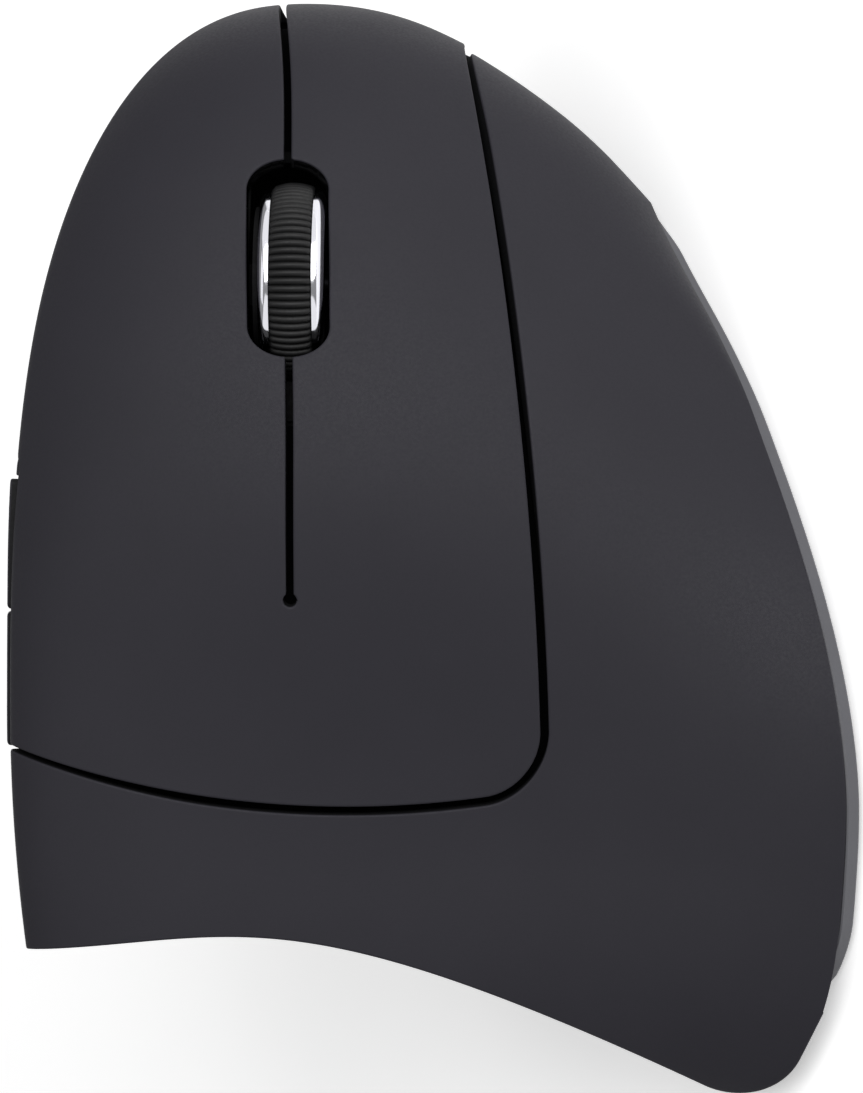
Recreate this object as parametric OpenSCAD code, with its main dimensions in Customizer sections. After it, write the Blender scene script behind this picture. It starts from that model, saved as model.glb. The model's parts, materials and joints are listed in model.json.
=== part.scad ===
// Vertical ergonomic mouse: a handshake-grip body with a slanted button panel, a ribbed scroll wheel
// with bright rims, thumb keys over the ridge and a wide flared foot. Millimetres, +Z up, +Y forward.

/* [Body] */
// Length from nose to tail
length = 120; // [112:1:126]
// Width across the widest part of the foot
width = 76.5; // [72:0.5:82]
// Height of the ridge above the table
height = 69.5; // [65:0.5:75]
// Thickness of the moulded skin
wall = 2; // [1.4:0.1:2.4]
// Slope of the button face, as the tilt of its normal above the table
face_tilt = 36; // [33:0.5:39]
// Height of the parting line between foot and shell
rim_z = 2.4; // [2:0.1:3]
// Gap between foot and shell
rim_seam = 0.25; // [0.15:0.05:0.4]
// Distance of the ridge from the middle, to the left
ridge_offset = 22; // [20:0.5:24]
// Distance of the nose tip from the middle, to the left
nose_offset = 27; // [25:0.5:29]
// Height of the nose tip
nose_z = 29; // [26:0.5:32]
// Distance of the widest station behind the middle
widest_back = 28; // [24:1:32]

/* [Button panel] */
// Distance of the slit between the buttons from the ridge, along the face
slit_offset = 29.5; // [27:0.5:32]
// Width of the slit
slit_w = 0.8; // [0.6:0.1:1.2]
// Diameter of the relief hole at the end of the slit
relief_d = 1.4; // [1.2:0.1:2]
// Width of the panel from the ridge, along the face, at its rear corner
panel_w = 56.5; // [52:0.5:60]
// Narrowing of the panel at the nose
panel_taper = 8.5; // [6:0.5:11]
// Length of the panel from the nose tip
panel_l = 88; // [84:1:92]
// Length of the two buttons from the nose tip
button_l = 66; // [60:1:70]
// Corner radius of the panel
panel_r = 6; // [4:0.5:8]
// Groove round the panel
groove_w = 0.9; // [0.6:0.1:1.2]
// Gap at the flexing line of the buttons
flex_gap = 0.45; // [0.35:0.05:0.6]
// Swing of a button when it clicks
button_swing = 1.2; // [0.8:0.1:1.4]

/* [Wheel] */
// Wheel diameter over the ribs
wheel_d = 22; // [21:0.25:22.5]
// Overall width of the wheel
wheel_w = 7.3; // [6.5:0.1:8]
// Width of the ribbed tyre
tyre_w = 4.6; // [4:0.1:5.2]
// Number of ribs round the tyre
rib_count = 80; // [60:1:90]
// Depth of the ribs
rib_h = 0.35; // [0.2:0.05:0.5]
// Radius of the hub under the tyre
hub_r = 8.4; // [7.5:0.1:9]
// Step of the bright rims below the ribs
rim_step = 0.7; // [0.5:0.1:1]
// Diameter of the axle
axle_d = 2.4; // [2:0.1:2.8]
// Distance of the wheel behind the nose tip
wheel_back = 29.5; // [28:0.5:31]
// Depth of the axle below the face
wheel_sink = 7.6; // [7.4:0.1:8.4]
// Length of the wheel slot
slot_l = 21.4; // [21:0.1:22.5]
// Side clearance of the wheel in its slot
slot_gap = 0.7; // [0.5:0.05:1]
// Wall of the slot lining
bezel_wall = 1.2; // [0.8:0.1:1.4]
// Press of the wheel when it clicks
wheel_press = 0.5; // [0.3:0.1:0.6]

/* [Thumb side] */
// Length of one thumb key
thumb_key_l = 14; // [12:0.5:15]
// Height of the thumb keys, along the face normal
thumb_key_h = 6.2; // [5:0.1:7]
// Height of a thumb key above the skin
thumb_key_proud = 0.6; // [0.3:0.1:0.8]
// Gap round the thumb keys
thumb_gap = 0.7; // [0.5:0.05:0.9]
// Press of a thumb key
thumb_press = 0.5; // [0.3:0.1:0.6]
// Gap round the thumb rest
rest_gap = 0.4; // [0.3:0.05:0.6]

/* [Power] */
// Diameter of the battery
battery_d = 14.5; // [14:0.1:14.5]
// Length of the battery
battery_l = 50.5; // [49:0.1:50.5]
// Thickness of a battery contact
contact_t = 0.6; // [0.4:0.1:0.8]
// Thickness of the battery door
door_t = 1.2; // [1:0.1:1.3]
// Gap round the battery door
door_gap = 0.3; // [0.2:0.05:0.4]
// Ledge that stops the battery door
door_ledge = 1; // [0.8:0.1:1.4]
// Stroke of the power switch each way
power_stroke = 1.5; // [1:0.1:1.8]

/* [Boards and feet] */
// Thickness of the circuit boards
board_t = 1.6; // [1.2:0.1:2]
// Thickness of the inner frame
frame_t = 1.6; // [1.4:0.1:2.2]
// Height of the glide feet
foot_h = 0.6; // [0.5:0.05:0.8]
// Side clearance of a sliding plunger or key
slide_gap = 0.15; // [0.1:0.05:0.25]
// Shank diameter of the screws
screw_d = 2; // [1.8:0.1:2.4]
// Head diameter of the screws
screw_head_d = 4.2; // [3.8:0.1:4.6]

/* [Hidden] */
$fn = 48;
tiny = 0.01;
far = 200;

// Surface of the body. A station lies across the body at each y: a right-hand curve from the foot up the
// button face to the ridge, a left-hand curve from the ridge down the thumb side, and a belly curve.
tip_y = length / 2;
tail_over = 2.85;
tail_y = -length / 2 - tail_over;
half_w = width / 2;
ridge_top_back = 17;
ridge_drop = 6;
belly_drop = 6.4;
blend_front = 20;
circle_k = 0.5523;
right_n = 10;
left_n = 10;
belly_n = 8;
rear_steps = 7;
mid_steps = 10;
nose_steps = 11;

function mix(a, b, t) = a + (b - a) * t;
function clamp01(t) = min(max(t, 0), 1);
function smooth(lo, hi, v) = let (t = clamp01((v - lo) / (hi - lo))) t * t * (3 - 2 * t);
function oval(q, a, b) = pow(1 - pow(clamp01(q), a), 1 / b);
function span(from, lo, hi) = [from + lo, from + hi];
function about(mid, half) = [mid - half, mid + half];
function bezier(p, t) = pow(1 - t, 3) * p[0] + 3 * t * pow(1 - t, 2) * p[1]
    + 3 * t * t * (1 - t) * p[2] + pow(t, 3) * p[3];

// Share of the way from a station behind the tip to the tip itself
function reach(y, back) = (y + back) / (tip_y + back);
function ridge(y) = let (q = reach(y, ridge_top_back))
    q >= 0 ? [mix(-ridge_offset, -nose_offset, q * q), mix(nose_z, height, oval(q, 2.5, 2.15))]
    : [-ridge_offset, height - ridge_drop * pow((y + ridge_top_back) / (tail_y + ridge_top_back), 2)];
function edge_z(y) = mix(rim_z, nose_z, pow(clamp01(reach(y, -10)), 1.85));
function belly_z(y) = mix(nose_z, rim_z - belly_drop, oval(reach(y, -37.5), 0.8, 2));
function tail_share(y) = (y + widest_back) / (tail_y + widest_back);
function right_x(y) = let (q = clamp01(reach(y, widest_back)))
    y >= -widest_back ? mix(-nose_offset, half_w, pow(1 - pow(q, 1.75), 1 / (1 + pow(q, 3.4))))
    : mix(-3, half_w, oval(tail_share(y), 2, 4));
function left_x(y) = y >= -widest_back ? mix(-nose_offset, -half_w, oval(reach(y, widest_back), 2.2, 2))
    : -half_w + 3 * pow(tail_share(y), 2);
function right_curve(y) = let (
    r = ridge(y), a = [right_x(y), edge_z(y)],
    g = smooth(25, tip_y - 2, y), f = smooth(-30, 40, y),
    flare = mix(28, 90, smooth(-35, 25, y)), rise = r.y - a.y,
    p = [a, a + mix(0.5, circle_k, g) * rise * [-cos(flare), sin(flare)],
        r + [mix(mix(0.27, 0.5, f), circle_k, g) * (a.x - r.x), 0], r])
    [for (i = [0 : right_n - 1]) bezier(p, i / right_n)];
function left_curve(y) = let (
    r = ridge(y), b = [left_x(y), edge_z(y)], g = smooth(25, tip_y - 2, y),
    flare = mix(40, 90, smooth(-10, 40, y)), rise = r.y - b.y,
    p = [r, r - [mix(0.75, circle_k, g) * (r.x - b.x), 0],
        b + mix(0.5, circle_k, g) * rise * [cos(flare), sin(flare)], b])
    [for (i = [0 : left_n - 1]) bezier(p, i / left_n)];
function belly_curve(y) = let (
    a = [right_x(y), edge_z(y)], b = [left_x(y), edge_z(y)], sag = [0, (edge_z(y) - belly_z(y)) / 0.75],
    p = [b, b - sag, a - sag, a])
    [for (i = [0 : belly_n - 1]) bezier(p, i / belly_n)];
function ring(y) = [for (p = concat(right_curve(y), left_curve(y), belly_curve(y))) [p.x, y, p.y]];
stations = concat(
    [for (i = [0 : rear_steps - 1]) mix(tail_y, -widest_back, i / rear_steps)],
    [for (i = [0 : mid_steps - 1]) mix(-widest_back, blend_front, i / mid_steps)],
    [for (i = [0 : nose_steps - 1]) mix(blend_front, tip_y, sin(90 * i / nose_steps))]);
rings = [for (y = stations) ring(y)];
ring_n = len(rings[0]);
last_ring = len(rings) - 1;
nose_tip = [-nose_offset, tip_y, nose_z];
function unit(v) = v / norm(v);
function normal_at(i, j) = let (
    along = (i < last_ring ? rings[i + 1][j] : nose_tip) - rings[max(i - 1, 0)][j],
    around = rings[i][(j + 1) % ring_n] - rings[i][(j + ring_n - 1) % ring_n])
    unit(cross(along, around));

// Body solid with its surface moved inwards
module body(inset) {
    points = [for (i = [0 : last_ring], j = [0 : ring_n - 1]) rings[i][j] - inset * normal_at(i, j)];
    tip_index = len(points);
    sides = [for (i = [0 : last_ring - 1], j = [0 : ring_n - 1], k = [0, 1])
        let (j2 = (j + 1) % ring_n, a = i * ring_n + j, b = i * ring_n + j2)
        k == 0 ? [a, b, a + ring_n] : [b, b + ring_n, a + ring_n]];
    nose = [for (j = [0 : ring_n - 1])
        [last_ring * ring_n + j, last_ring * ring_n + (j + 1) % ring_n, tip_index]];
    polyhedron(concat(points, [nose_tip - [0, inset, 0]]),
        concat(sides, nose, [[for (j = [ring_n - 1 : -1 : 0]) j]]));
}

// One mesh for a freeform moulding
module moulded() {
    resize([0, 0, 0]) children();
}

// Frame of the button face: first axis down across the face, second forward, third out of the face
function across(x, z) = x * sin(face_tilt) - z * cos(face_tilt);
function above(x, z) = x * cos(face_tilt) + z * sin(face_tilt);
function skin_w(u, v) = lookup(u, [for (p = right_curve(v)) [across(p.x, p.y), above(p.x, p.y)]]);
module on_face() {
    rotate([0, 90 - face_tilt, 0]) children();
}
module block(u, v, w) {
    translate([u[0], v[0], w[0]]) cube([u[1] - u[0], v[1] - v[0], w[1] - w[0]]);
}
ridge_u = across(-ridge_offset, height);
ridge_w = above(-ridge_offset, height);
slit_u = ridge_u + slit_offset;
flex_v = tip_y - button_l;
panel_v = tip_y - panel_l;

// Tail cut, drawn on the face
tail_mid = -length / 2;
tail_line = [[ridge_u - 1, tail_mid + 15], [ridge_u + 31, tail_mid + 24.5], [slit_u + 20, tail_mid + 9.5],
    [slit_u + 56, tail_mid - 4]];
tail_n = 14;
module tail_region(inset) {
    line = [for (i = [0 : tail_n]) bezier(tail_line, i / tail_n)];
    offset(delta = -inset) polygon(concat(line, [[far, tail_y], [far, far], [-far, far], [-far, line[0].y]]));
}
module trimmed_body(inset) {
    intersection() {
        body(inset);
        on_face() translate([0, 0, -far]) linear_extrude(2 * far) tail_region(inset);
    }
}
module skin(proud = 0) {
    difference() {
        trimmed_body(-proud);
        trimmed_body(wall);
    }
}

thumb_front_v = flex_v + 13;

// Panel outline on the face, and the belt that ends the panel under the ridge and the nose
panel_right = ridge_u + panel_w;
panel_bow = 1.5;
panel_n = 12;
module panel_outline(grow) {
    right_line = [for (i = [0 : panel_n]) let (t = i / panel_n)
        [panel_right - panel_taper * pow(t, 1.5), mix(panel_v, tip_y, t)]];
    rear_line = [[ridge_u - 6, panel_v + 6.5], [ridge_u + 14, panel_v + 1.6], [slit_u + 2, panel_v]];
    offset(delta = grow) offset(r = panel_r) offset(delta = -panel_r)
        polygon(concat(rear_line, right_line, [[panel_right - panel_taper, far], [ridge_u - far, far],
            [ridge_u - far, panel_v + 6.5]]));
}
belt_w = ridge_w - 1.6;
belt_fall = 30;
belt_n = 22;
belt_step = 2.4;
belt_step_v = thumb_front_v + thumb_gap + 0.3;
function belt(v) = belt_w - belt_step * smooth(belt_step_v, belt_step_v + 3, v)
    - belt_fall * (1 - oval(reach(v, 0), 2.5, 1.4));
module belt_region(swing) {
    line = [for (i = [0 : belt_n]) let (v = mix(belt_step_v, tip_y, i / belt_n)) [v, belt(v)]];
    translate([flex_v, belt_w]) rotate(-swing) translate([-flex_v, -belt_w])
        polygon(concat([[-far, belt_w]], line, [[far, belt_w - belt_fall], [far, far], [-far, far]]));
}
module above_belt(swing, drop) {
    on_face() rotate([90, 0, 90]) translate([0, -drop, -far]) linear_extrude(2 * far) belt_region(swing);
}
module panel_column(grow) {
    on_face() translate([0, 0, -far]) linear_extrude(2 * far) panel_outline(grow);
}
module panel_skin() {
    intersection() {
        skin();
        panel_column(0);
        above_belt(0, 0);
    }
}

// Places in the face frame
wheel_v = tip_y - wheel_back;
face_slope = atan2(skin_w(slit_u, wheel_v - slot_l / 2) - skin_w(slit_u, wheel_v + slot_l / 2), slot_l);
wheel_cv = wheel_v - wheel_sink * sin(face_slope);
wheel_cw = skin_w(slit_u, wheel_v) - wheel_sink * cos(face_slope);
slot_w = wheel_w + 2 * slot_gap;
frame_w0 = skin_w(slit_u, wheel_v) - 14.8;
board_w0 = frame_w0 + frame_t;
board_w1 = board_w0 + board_t;
notch_half = wheel_w / 2 + 2.4;
notch_v = wheel_cv - wheel_d / 2 + 0.2;
frame_v = [flex_v - 28, tip_y - 23];
frame_u = [ridge_u + 14.5, ridge_u + 48.5];
switch_size = [5.8, 12.8, 6.5];
switch_v = flex_v + 27;
left_switch_u = slit_u - 13;
right_switch_u = slit_u + 14;
plunger = [1.6, 2.4];
plunger_rise = 0.6;
presser_gap = 0.2;
module slot_shape(grow) {
    half = slot_w / 2 + grow;
    straight = (slot_l - slot_w) / 2;
    hull() for (s = [-1, 1]) translate([slit_u, wheel_v + s * straight]) circle(half, $fn = 24);
}
module bezel_slot(grow) {
    translate([slit_u, bezel_v]) square([slot_w + 2 * grow, slot_l + 2 * (bezel_over + grow)], center = true);
}
// Finger button between two limits across the face, with the presser over its switch
module finger_button(u, presser_u) {
    moulded() difference() {
        union() {
            intersection() {
                panel_skin();
                on_face() block(u, [flex_v + flex_gap / 2, far], [-far, far]);
            }
            intersection() {
                trimmed_body(wall / 2);
                on_face() block(about(presser_u, 1.5), about(switch_v, 2),
                    [board_w1 + switch_size.z + plunger_rise + presser_gap, far]);
            }
        }
        on_face() translate([0, 0, -far]) linear_extrude(2 * far) slot_shape(0);
        intersection() {
            body(wall / 2);
            on_face() translate([0, 0, -far]) linear_extrude(2 * far) bezel_slot(slot_gap / 2);
        }
        on_face() translate([slit_u, flex_v, -far]) cylinder(d = relief_d, h = 2 * far, $fn = 12);
    }
}
module left_button() {
    color("dimgray") finger_button([-far, slit_u - slit_w / 2], left_switch_u);
}
module right_button() {
    color("dimgray") finger_button([slit_u + slit_w / 2, far], right_switch_u);
}
module button_panel() {
    color("dimgray") moulded() difference() {
        intersection() {
            panel_skin();
            on_face() block([-far, far], [-far, flex_v - flex_gap / 2], [-far, far]);
        }
        on_face() translate([slit_u, flex_v, -far]) cylinder(d = relief_d, h = 2 * far, $fn = 12);
    }
}

// Thumb keys: windows in the left skin just under the panel edge, drawn along the ridge
thumb_w1 = belt_w - thumb_gap;
thumb_w0 = thumb_w1 - thumb_key_h;
thumb_split = 0.7;
back_v = [thumb_front_v - 2 * thumb_key_l - thumb_split, thumb_front_v - thumb_key_l - thumb_split];
forward_v = [thumb_front_v - thumb_key_l, thumb_front_v];
thumb_u = [ridge_u - far, ridge_u + 12];
thumb_switch = [6.5, 12.8, 5.8];
thumb_board_u = ridge_u + 15.5;
thumb_switch_w = [thumb_w1 - thumb_switch.z + 0.6, thumb_w1 + 0.6];
module thumb_window(v, grow) {
    on_face() block(thumb_u, [v[0] - grow, v[1] + grow], [thumb_w0 - grow, belt_w + tiny]);
}
module thumb_key(v) {
    mid = (v[0] + v[1]) / 2;
    mid_w = (thumb_switch_w[0] + thumb_switch_w[1]) / 2;
    moulded() union() {
        intersection() {
            skin(thumb_key_proud);
            on_face() block(thumb_u, v, [thumb_w0, thumb_w1]);
        }
        intersection() {
            trimmed_body(wall / 2);
            on_face() block([-far, thumb_board_u - thumb_switch.x - plunger_rise - presser_gap],
                about(mid, 1.5), about(mid_w, 1.2));
        }
    }
}
module forward_key() {
    color("gray") thumb_key(forward_v);
}
module back_key() {
    color("gray") thumb_key(back_v);
}

// Thumb rest, drawn from the side
module rest_outline(grow) {
    offset(delta = grow) offset(r = 5) offset(delta = -5)
        polygon([[-34, rim_z + 14], [34, rim_z + 16], [34, height - 26], [10, height - 14],
            [-34, height - 14]]);
}
rest_reach = 8;
module rest_column(grow) {
    translate([-far - ridge_offset + rest_reach, 0, 0]) rotate([90, 0, 90]) linear_extrude(far) rest_outline(grow);
}
module thumb_rest() {
    color("darkslategray") moulded() intersection() {
        skin();
        rest_column(0);
    }
}

// Main shell with the screw bosses
screw_y = [tip_y - 23.5, tail_mid + 29, tail_mid + 16];
boss_in = 12.25;
screw_at = [[left_x(screw_y[0]) + boss_in - 4, screw_y[0]], [left_x(screw_y[1]) + boss_in, screw_y[1]],
    [half_w - boss_in - 1.75, screw_y[2]]];
boss_d = 6;
boss_sides = 8;
boss_rise = 11;
boss_top = rim_z + boss_rise;
pilot_gap = 0.15;
screw_l = 5;
module main_shell() {
    color("darkgray") moulded() difference() {
        union() {
            difference() {
                skin();
                intersection() {
                    panel_column(groove_w);
                    union() {
                        above_belt(0, groove_w / 2);
                        above_belt(button_swing + 0.3, groove_w / 2);
                    }
                }
                thumb_window([back_v[0], forward_v[1]], thumb_gap);
                rest_column(rest_gap);
            }
            intersection() {
                trimmed_body(wall / 2);
                for (p = screw_at) translate([p.x, p.y, 0]) cylinder(d = boss_d, h = boss_top, $fn = boss_sides);
            }
        }
        translate([-far, -far, -far]) cube([2 * far, 2 * far, far + rim_z + rim_seam]);
        for (p = screw_at) translate([p.x, p.y, 0])
            cylinder(d = screw_d + 2 * pilot_gap, h = rim_z + screw_l, $fn = boss_sides);
    }
}

// Wheel, turning on an axle across the face
rim_r = wheel_d / 2 - rim_step;
rim_w = (wheel_w - tyre_w) / 2;
yoke_t = 1.2;
yoke_gap = 0.45;
yoke_in = wheel_w / 2 + yoke_gap;
yoke_half_v = 2.2;
run_gap = 0.05;
module at_wheel() {
    on_face() translate([slit_u, wheel_cv, wheel_cw]) rotate([0, 90, 0]) children();
}
module wheel_ring(r_out, r_in, a, b) {
    at_wheel() translate([0, 0, a]) difference() {
        cylinder(r = r_out, h = b - a);
        translate([0, 0, -1]) cylinder(r = r_in, h = b - a + 2);
    }
}
module wheel_hub() {
    color("black") wheel_ring(hub_r, axle_d / 2, -wheel_w / 2, wheel_w / 2);
}
module wheel_tyre() {
    r = wheel_d / 2;
    step = 360 / rib_count;
    color("black") at_wheel() translate([0, 0, -tyre_w / 2]) linear_extrude(tyre_w) difference() {
        polygon([for (i = [0 : rib_count - 1], k = [[0, 0], [0.5, 0], [0.62, rib_h], [0.88, rib_h]])
            (r - k[1]) * [cos((i + k[0]) * step), sin((i + k[0]) * step)]]);
        circle(hub_r);
    }
}
module wheel_rim_left() {
    color("silver") wheel_ring(rim_r, hub_r, -wheel_w / 2, -wheel_w / 2 + rim_w);
}
module wheel_rim_right() {
    color("silver") wheel_ring(rim_r, hub_r, wheel_w / 2 - rim_w, wheel_w / 2);
}
axle_left = yoke_in + yoke_t + 0.5;
axle_right = yoke_in + yoke_t + 4;
module wheel_axle() {
    color("silver") at_wheel() translate([0, 0, -axle_left]) cylinder(d = axle_d, h = axle_left + axle_right);
}
module wheel_yoke() {
    low = wheel_cw - wheel_d / 2 - 0.8;
    color("ivory") difference() {
        on_face() union() {
            for (s = [-1, 1]) translate([slit_u + s * (yoke_in + yoke_t / 2), wheel_cv, 0])
                block([-yoke_t / 2, yoke_t / 2], [-yoke_half_v, yoke_half_v], [low, wheel_cw + 1.75]);
            block(about(slit_u, yoke_in + yoke_t), about(wheel_cv, yoke_half_v), [low - 1.4, low]);
        }
        at_wheel() translate([0, 0, -far]) cylinder(r = axle_d / 2 + run_gap, h = 2 * far);
    }
}
bezel_drop = 1.4;
bezel_t = 1;
bezel_over = 1.2;
pillar_half = 4;
tongue_in = 0.5;
pillar_v = [notch_v - 4.5, notch_v - 1];
bezel_v = wheel_v - (wall + bezel_drop + bezel_t / 2) * sin(face_slope);
module wheel_bezel() {
    color("black") moulded() union() {
        difference() {
            intersection() {
                body(wall + bezel_drop);
                on_face() translate([0, 0, board_w0]) linear_extrude(far) {
                    bezel_slot(bezel_wall);
                    rect(about(slit_u, pillar_half - tongue_in), [pillar_v[0] + tongue_in, notch_v]);
                }
            }
            body(wall + bezel_drop + bezel_t);
            on_face() translate([0, 0, -far]) linear_extrude(2 * far) bezel_slot(0);
        }
        intersection() {
            body(wall + bezel_drop + bezel_t / 2);
            on_face() block(about(slit_u, pillar_half), pillar_v, [board_w0, far]);
        }
    }
}

// Slanted inner frame and the button board on it
module slanted_plate(u, v, w, notch_back) {
    on_face() difference() {
        block(u, v, w);
        block(about(slit_u, notch_half), [notch_v - notch_back, far], [-far, far]);
    }
}
leg = 3.4;
leg_pitch = 14;
leg_x = [-ridge_offset, -ridge_offset + leg_pitch];
leg_y = [frame_v[0] + 0.5, frame_v[1] - 5];
module inner_frame() {
    color("slategray") union() {
        slanted_plate(frame_u, frame_v, [frame_w0, board_w0], 0);
        difference() {
            for (x = leg_x, y = leg_y) translate([x, y, rim_z]) cube([leg, leg, height]);
            on_face() block([-far, far], [-far, far], [frame_w0 + frame_t / 2, far]);
        }
    }
}
module button_board() {
    color("darkgreen") slanted_plate(frame_u, [flex_v + 9, frame_v[1]], [board_w0, board_w1], 6);
}
module press_switch(u) {
    color("black") on_face() difference() {
        block(about(u, switch_size.x / 2), about(switch_v, switch_size.y / 2),
            [board_w1, board_w1 + switch_size.z]);
        block(about(u, plunger.x / 2 + slide_gap), about(switch_v, plunger.y / 2 + slide_gap),
            [board_w1 + switch_size.z - 3, far]);
    }
}
module press_plunger(u) {
    color("white") on_face() block(about(u, plunger.x / 2), about(switch_v, plunger.y / 2),
        span(board_w1 + switch_size.z, -1.6, plunger_rise));
}
module left_switch() {
    press_switch(left_switch_u);
}
module right_switch() {
    press_switch(right_switch_u);
}
module left_plunger() {
    press_plunger(left_switch_u);
}
module right_plunger() {
    press_plunger(right_switch_u);
}

// Click switch under the right end of the axle, and the encoder beside its left end
middle_u = slit_u + axle_right - 1.6;
axle_gap = 0.3;
middle_top = wheel_cw - axle_d / 2 - axle_gap;
middle_body_w = [board_w1, middle_top - plunger_rise];
module middle_switch() {
    color("black") on_face() difference() {
        block(about(middle_u, 1.9), about(wheel_cv, 3), middle_body_w);
        block(about(middle_u, plunger.x / 2 + slide_gap), about(wheel_cv, plunger.y / 2 + slide_gap),
            [middle_body_w[0] + 0.3, far]);
    }
}
module middle_plunger() {
    color("white") on_face() block(about(middle_u, plunger.x / 2), about(wheel_cv, plunger.y / 2),
        [middle_body_w[0] + 0.3 + wheel_press + 0.1, middle_top]);
}
module wheel_encoder() {
    color("royalblue") on_face() block(span(slit_u - axle_left - 0.6, -3.2, 0), about(wheel_cv, 5),
        [board_w1, wheel_cw + 0.8]);
}

// Thumb board, standing on the inner frame, with a switch behind each key
module thumb_board() {
    color("darkgreen") on_face() block(span(thumb_board_u, 0, board_t),
        [back_v[0] - 1, thumb_front_v - 4], [board_w0, belt_w + 1.5]);
}
function key_mid(v) = (v[0] + v[1]) / 2;
thumb_mid_w = (thumb_switch_w[0] + thumb_switch_w[1]) / 2;
module thumb_press_switch(v) {
    color("black") on_face() difference() {
        block(span(thumb_board_u, -thumb_switch.x, 0), about(key_mid(v), thumb_switch.y / 2), thumb_switch_w);
        block([-far, thumb_board_u - thumb_switch.x + 3], about(key_mid(v), plunger.y / 2 + slide_gap),
            about(thumb_mid_w, plunger.x / 2 + slide_gap));
    }
}
module thumb_plunger(v) {
    color("white") on_face() block(span(thumb_board_u - thumb_switch.x, -plunger_rise, 1.6),
        about(key_mid(v), plunger.y / 2), about(thumb_mid_w, plunger.x / 2));
}
module forward_switch() {
    thumb_press_switch(forward_v);
}
module back_switch() {
    thumb_press_switch(back_v);
}
module forward_plunger() {
    thumb_plunger(forward_v);
}
module back_plunger() {
    thumb_plunger(back_v);
}

// Foot of the mouse: base plate, boards on it, battery bay, power switch and glide feet
battery_x = 6;
battery_y = [-43, -43 + battery_l];
battery_z = rim_z + 0.8 + battery_d / 2;
door_x = about(battery_x, battery_d / 2 + 0.75);
door_y = battery_y + [-1, 1];
board_x = [-16, -3.5];
board_y = [-27, 27];
board_z = 5;
post_d = 3;
post_at = [for (x = board_x + [2, -2], y = board_y + [2, -2]) [x, y]];
sensor_at = [-9.5, 6];
lens_hole = [8, 6.6];
power_at = [-9.5, -16];
knob = [3.6, 4.4];
upright_t = 1.2;
head_h = 0.9;
module rect(x, y) {
    translate([x[0], y[0]]) square([x[1] - x[0], y[1] - y[0]]);
}
module base_outline() {
    projection(cut = true) translate([0, 0, -rim_z + tiny]) trimmed_body(0);
}
module base() {
    color("gray") difference() {
        union() {
            translate([0, 0, foot_h]) linear_extrude(rim_z - foot_h) base_outline();
            for (p = post_at) translate([p.x, p.y, rim_z - tiny]) cylinder(d = post_d, h = board_z - rim_z + tiny);
            for (y = [battery_y[0] - contact_t - upright_t, battery_y[1] + contact_t])
                translate([battery_x - 6, y, rim_z - tiny]) cube([12, upright_t, battery_d * 0.6]);
        }
        translate([0, 0, -1]) linear_extrude(far) rect(door_x, door_y);
        translate([0, 0, -1]) linear_extrude(1 + foot_h + door_t)
            rect(door_x + door_ledge * [-1, 1], door_y + door_ledge * [-1, 1]);
        translate([sensor_at.x, sensor_at.y, 0]) cube([lens_hole.x, lens_hole.y, 3 * rim_z], center = true);
        translate([power_at.x, power_at.y, 0])
            cube([knob.x + 2 * slide_gap, knob.y + 2 * (power_stroke + slide_gap), 3 * rim_z], center = true);
        for (p = screw_at) translate([p.x, p.y, 0]) {
            cylinder(d = screw_d + 2 * pilot_gap, h = far);
            cylinder(d = screw_head_d + 2 * pilot_gap, h = foot_h + head_h);
        }
    }
}
module main_board() {
    color("darkgreen") translate([board_x[0], board_y[0], board_z])
        cube([board_x[1] - board_x[0], board_y[1] - board_y[0], board_t]);
}
module optical_sensor() {
    color("black") translate([sensor_at.x - 5, sensor_at.y - 6, board_z + board_t]) cube([10, 12, 2.4]);
}
module sensor_lens() {
    color("lightcyan") union() {
        translate([sensor_at.x - 5.5, sensor_at.y - 5.5, rim_z]) cube([11, 11, board_z - rim_z]);
        translate([sensor_at.x - lens_hole.x / 2 + slide_gap, sensor_at.y - lens_hole.y / 2 + slide_gap, foot_h + 0.6])
            cube([lens_hole.x - 2 * slide_gap, lens_hole.y - 2 * slide_gap, rim_z - foot_h]);
    }
}
module controller_chip() {
    color("black") translate([sensor_at.x - 3.5, sensor_at.y - 21, board_z + board_t]) cube([7, 7, 1]);
}
module battery() {
    color("goldenrod") translate([battery_x, battery_y[0], battery_z]) rotate([-90, 0, 0])
        cylinder(d = battery_d, h = battery_l);
}
module contact(y) {
    color("silver") translate([battery_x - 5, y, rim_z]) cube([10, contact_t, battery_d * 0.6]);
}
module contact_front() {
    contact(battery_y[1]);
}
module contact_rear() {
    contact(battery_y[0] - contact_t);
}
module battery_door() {
    inset = door_ledge - door_gap;
    color("dimgray") translate([0, 0, foot_h]) linear_extrude(door_t - tiny)
        rect(door_x + inset * [-1, 1], door_y + inset * [-1, 1]);
}
module power_switch() {
    color("silver") translate([power_at.x - 3, power_at.y - 5, rim_z + 0.6]) cube([6, 10, board_z - rim_z - 0.6]);
}
module power_knob() {
    color("white") translate([power_at.x - knob.x / 2, power_at.y - knob.y / 2, foot_h + 0.3])
        cube([knob.x, knob.y, rim_z - foot_h]);
}
module glide_foot(p, size) {
    r = min(size.x, size.y) / 2 - tiny;
    color("whitesmoke") translate([p.x, p.y, 0]) linear_extrude(foot_h)
        hull() for (sx = [-1, 1], sy = [-1, 1])
            translate([sx * (size.x / 2 - r), sy * (size.y / 2 - r)]) circle(r);
}
module foot_front() {
    glide_foot([-nose_offset + 9, tip_y - 31], [22, 6]);
}
module foot_left() {
    glide_foot([-half_w + 13.25, tail_mid + 20], [12, 6]);
}
module foot_right() {
    glide_foot([half_w - 12, tail_mid + 34], [6, 24]);
}
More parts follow.
